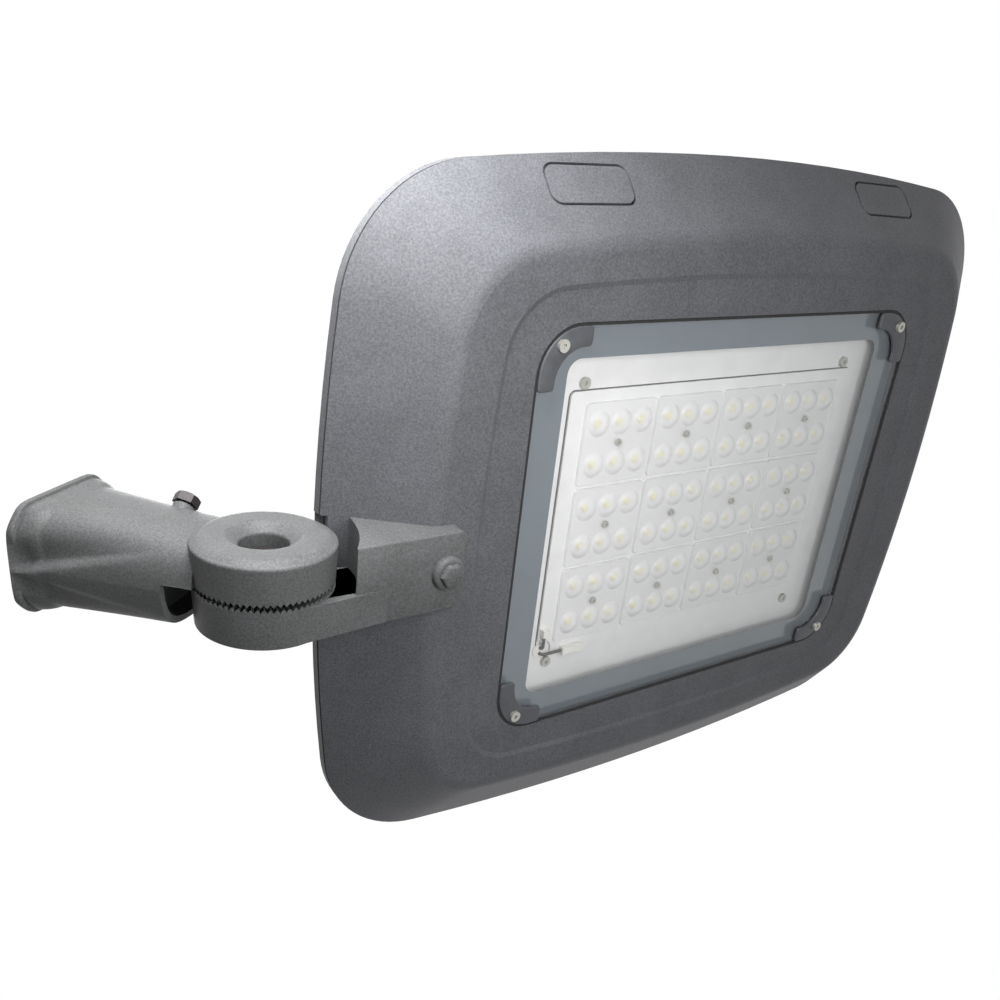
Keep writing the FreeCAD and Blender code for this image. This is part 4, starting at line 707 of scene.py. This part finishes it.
def lensSheet(half, middle, back):
    # a grid over a round-cornered rectangle whose height is that of the nearest dome, a part of a ball;
    # its last lines step down to the back face, where the sheet is closed
    spanX, spanY = (np.linspace(-1, 1, count) for count in lens["grid"])
    u, v = np.meshgrid(spanX, spanY, indexing="ij")
    x, y = u * half[0], v * half[1]
    overX, overY = (np.maximum(np.abs(a) - h + lens["corner"], 0) for a, h in zip((x, y), half))
    inside = np.minimum(1, lens["corner"] / np.maximum(np.hypot(overX, overY), tiny))
    x, y = x - np.sign(x) * overX * (1 - inside), y - np.sign(y) * overY * (1 - inside)
    radius, rise = lens["dome"]
    ball = (radius ** 2 + rise ** 2) / (2 * rise)
    height = np.full_like(x, lens["base"])
    for domeX, domeY in domePlaces:
        away = (x - domeX) ** 2 + (y - domeY) ** 2
        dome = np.sqrt(np.maximum(ball ** 2 - away, 0)) - ball + rise
        height = np.maximum(height, lens["base"] + dome)
    rim = np.maximum(np.abs(u), np.abs(v)) > 1 - tiny
    height = np.where(rim, lens["skirt"], height)
    return np.stack([x + middle[0], y + middle[1], back - height], axis=-1) * mm


chipCorners = [(0, -chip["rise"]), (chip["radius"], -chip["rise"]), (chip["radius"], 0), (0, 0)]
chipProfile = rounded(chipCorners, [0, chip["round"], 0, 0])
chipGrids = []
for name in sorted(node for node in nodes if node.startswith("lens_array")):
    low, high = (np.array(corner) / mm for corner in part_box(name))
    middle = (low + high) / 2
    sheet = lensSheet((high - low)[:2] / 2, middle, high[2])
    newPiece("lensModule" + name[-2:], [sheet], "clear_lens", "head", [name], wrap=False)
    for offset in domePlaces:
        spot = np.array([*(middle[:2] + offset), high[2] - chip["sunk"]])
        chipGrids.append(turned(chipProfile, headAxes, spot, chip["cols"]))
newPiece("phosphorChips", chipGrids, "yellow_chip", "head", ["led_chips"])
print("lens modules built")


# camera, with its place in metres and its turn in degrees
view = {
    "place": (-0.07737, -0.19429, -0.47869),
    "turn": (154.559, 29.44, -3.493),
    "lens": 31.947,
    "shift": (0.114, 0.0585),
}
cameraData = bpy.data.cameras.new("photoCamera")
cameraData.sensor_width = 36.0
cameraData.lens = view["lens"]
cameraData.shift_x, cameraData.shift_y = view["shift"]
cameraData.clip_start = 0.01
camera = bpy.data.objects.new("photoCamera", cameraData)
camera.location = view["place"]
camera.rotation_euler = [math.radians(angle) for angle in view["turn"]]
scene.collection.objects.link(camera)
scene.camera = camera

# lamps, placed in millimetres on the head's own axes; sizes in metres
lamps = {
    "cornerLamp": {"place": (-226, -179, -317), "aim": (-100, -60, 0), "size": 0.25, "watts": 0.95},
    "frontLamp": {"place": (-120, -60, -600), "aim": (-100, -60, 0), "size": 0.25, "watts": 1.2},
    "armLamp": {"place": (-315, -325, -15), "aim": (-280, 0, 20), "size": 0.25, "watts": 3.1},
    "topLamp": {"place": (300, 500, 1700), "aim": (0, 0, 0), "size": 1.4, "watts": 36.0},
    "backLamp": {"place": (-500, -900, 900), "aim": (0, 0, 0), "size": 1.0, "watts": 8.0},
}
for name, lamp in lamps.items():
    lampData = bpy.data.lights.new(name, "AREA")
    lampData.shape = "DISK"
    lampData.size = lamp["size"]
    lampData.energy = lamp["watts"]
    lampObject = bpy.data.objects.new(name, lampData)
    place, aim = (Vector(onHead(np.array(lamp[key]))) for key in ("place", "aim"))
    lampObject.location = place
    lampObject.rotation_euler = (place - aim).to_track_quat("Z", "Y").to_euler()
    lampObject.visible_camera = False
    scene.collection.objects.link(lampObject)


def seenStraight(tree):
    # one for a ray from the camera or one that a mirror or glass sends on, and zero for light that is shed
    path = addNode(tree, "ShaderNodeLightPath")
    most = {"operation": "MAXIMUM"}
    direct = [(0, path, "Is Camera Ray"), (1, path, "Is Transmission Ray")]
    seen = addNode(tree, "ShaderNodeMath", most, direct)
    return addNode(tree, "ShaderNodeMath", most, [(0, seen, 0), (1, path, "Is Glossy Ray")])


# a world that looks white and sheds little light
studio = {"shed": 0.04, "seen": 1.0}
world = bpy.data.worlds.new("studio")
scene.world = world
world.use_nodes = True
sky = world.node_tree
sky.nodes.clear()
shed, white = (
    addNode(sky, "ShaderNodeBackground", {"Color": srgb("#ffffff"), "Strength": studio[key]})
    for key in ("shed", "seen")
)
mixSky = addNode(sky, "ShaderNodeMixShader", None, [(0, seenStraight(sky), 0), (1, shed, 0), (2, white, 0)])
addNode(sky, "ShaderNodeOutputWorld", None, [("Surface", mixSky, 0)])

# a pale floor that still takes the object's shadow; sizes in metres
ground = {"half": 9.0, "level": -1.6, "coat": "#c9c9c9", "rough": 0.9, "pale": "#fafafa", "paleShare": 0.75}
floorMesh = bpy.data.meshes.new("studioFloor")
floorCorners = [(x * ground["half"], y * ground["half"], ground["level"]) for x, y in cornerSigns]
floorMesh.from_pydata(floorCorners, [], [(0, 1, 2, 3)])
floor = bpy.data.objects.new("studioFloor", floorMesh)
scene.collection.objects.link(floor)
floorCoat = {"Base Color": srgb(ground["coat"]), "Roughness": ground["rough"]}
paleFloor, floorTree, floorShader = newFinish("paleFloor", floorCoat)
weaken = {"operation": "MULTIPLY", 1: ground["paleShare"]}
share = addNode(floorTree, "ShaderNodeMath", weaken, [(0, seenStraight(floorTree), 0)])
pale = addNode(floorTree, "ShaderNodeEmission", {"Color": srgb(ground["pale"]), "Strength": 1.0})
blend = [(0, share, 0), (1, floorShader, 0), (2, pale, 0)]
mixFloor = addNode(floorTree, "ShaderNodeMixShader", None, blend)
floorTree.links.new(mixFloor.outputs[0], floorTree.nodes["Material Output"].inputs["Surface"])
floorMesh.materials.append(paleFloor)
scene.view_settings.view_transform = "Standard"
print("camera, lamps and floor set")
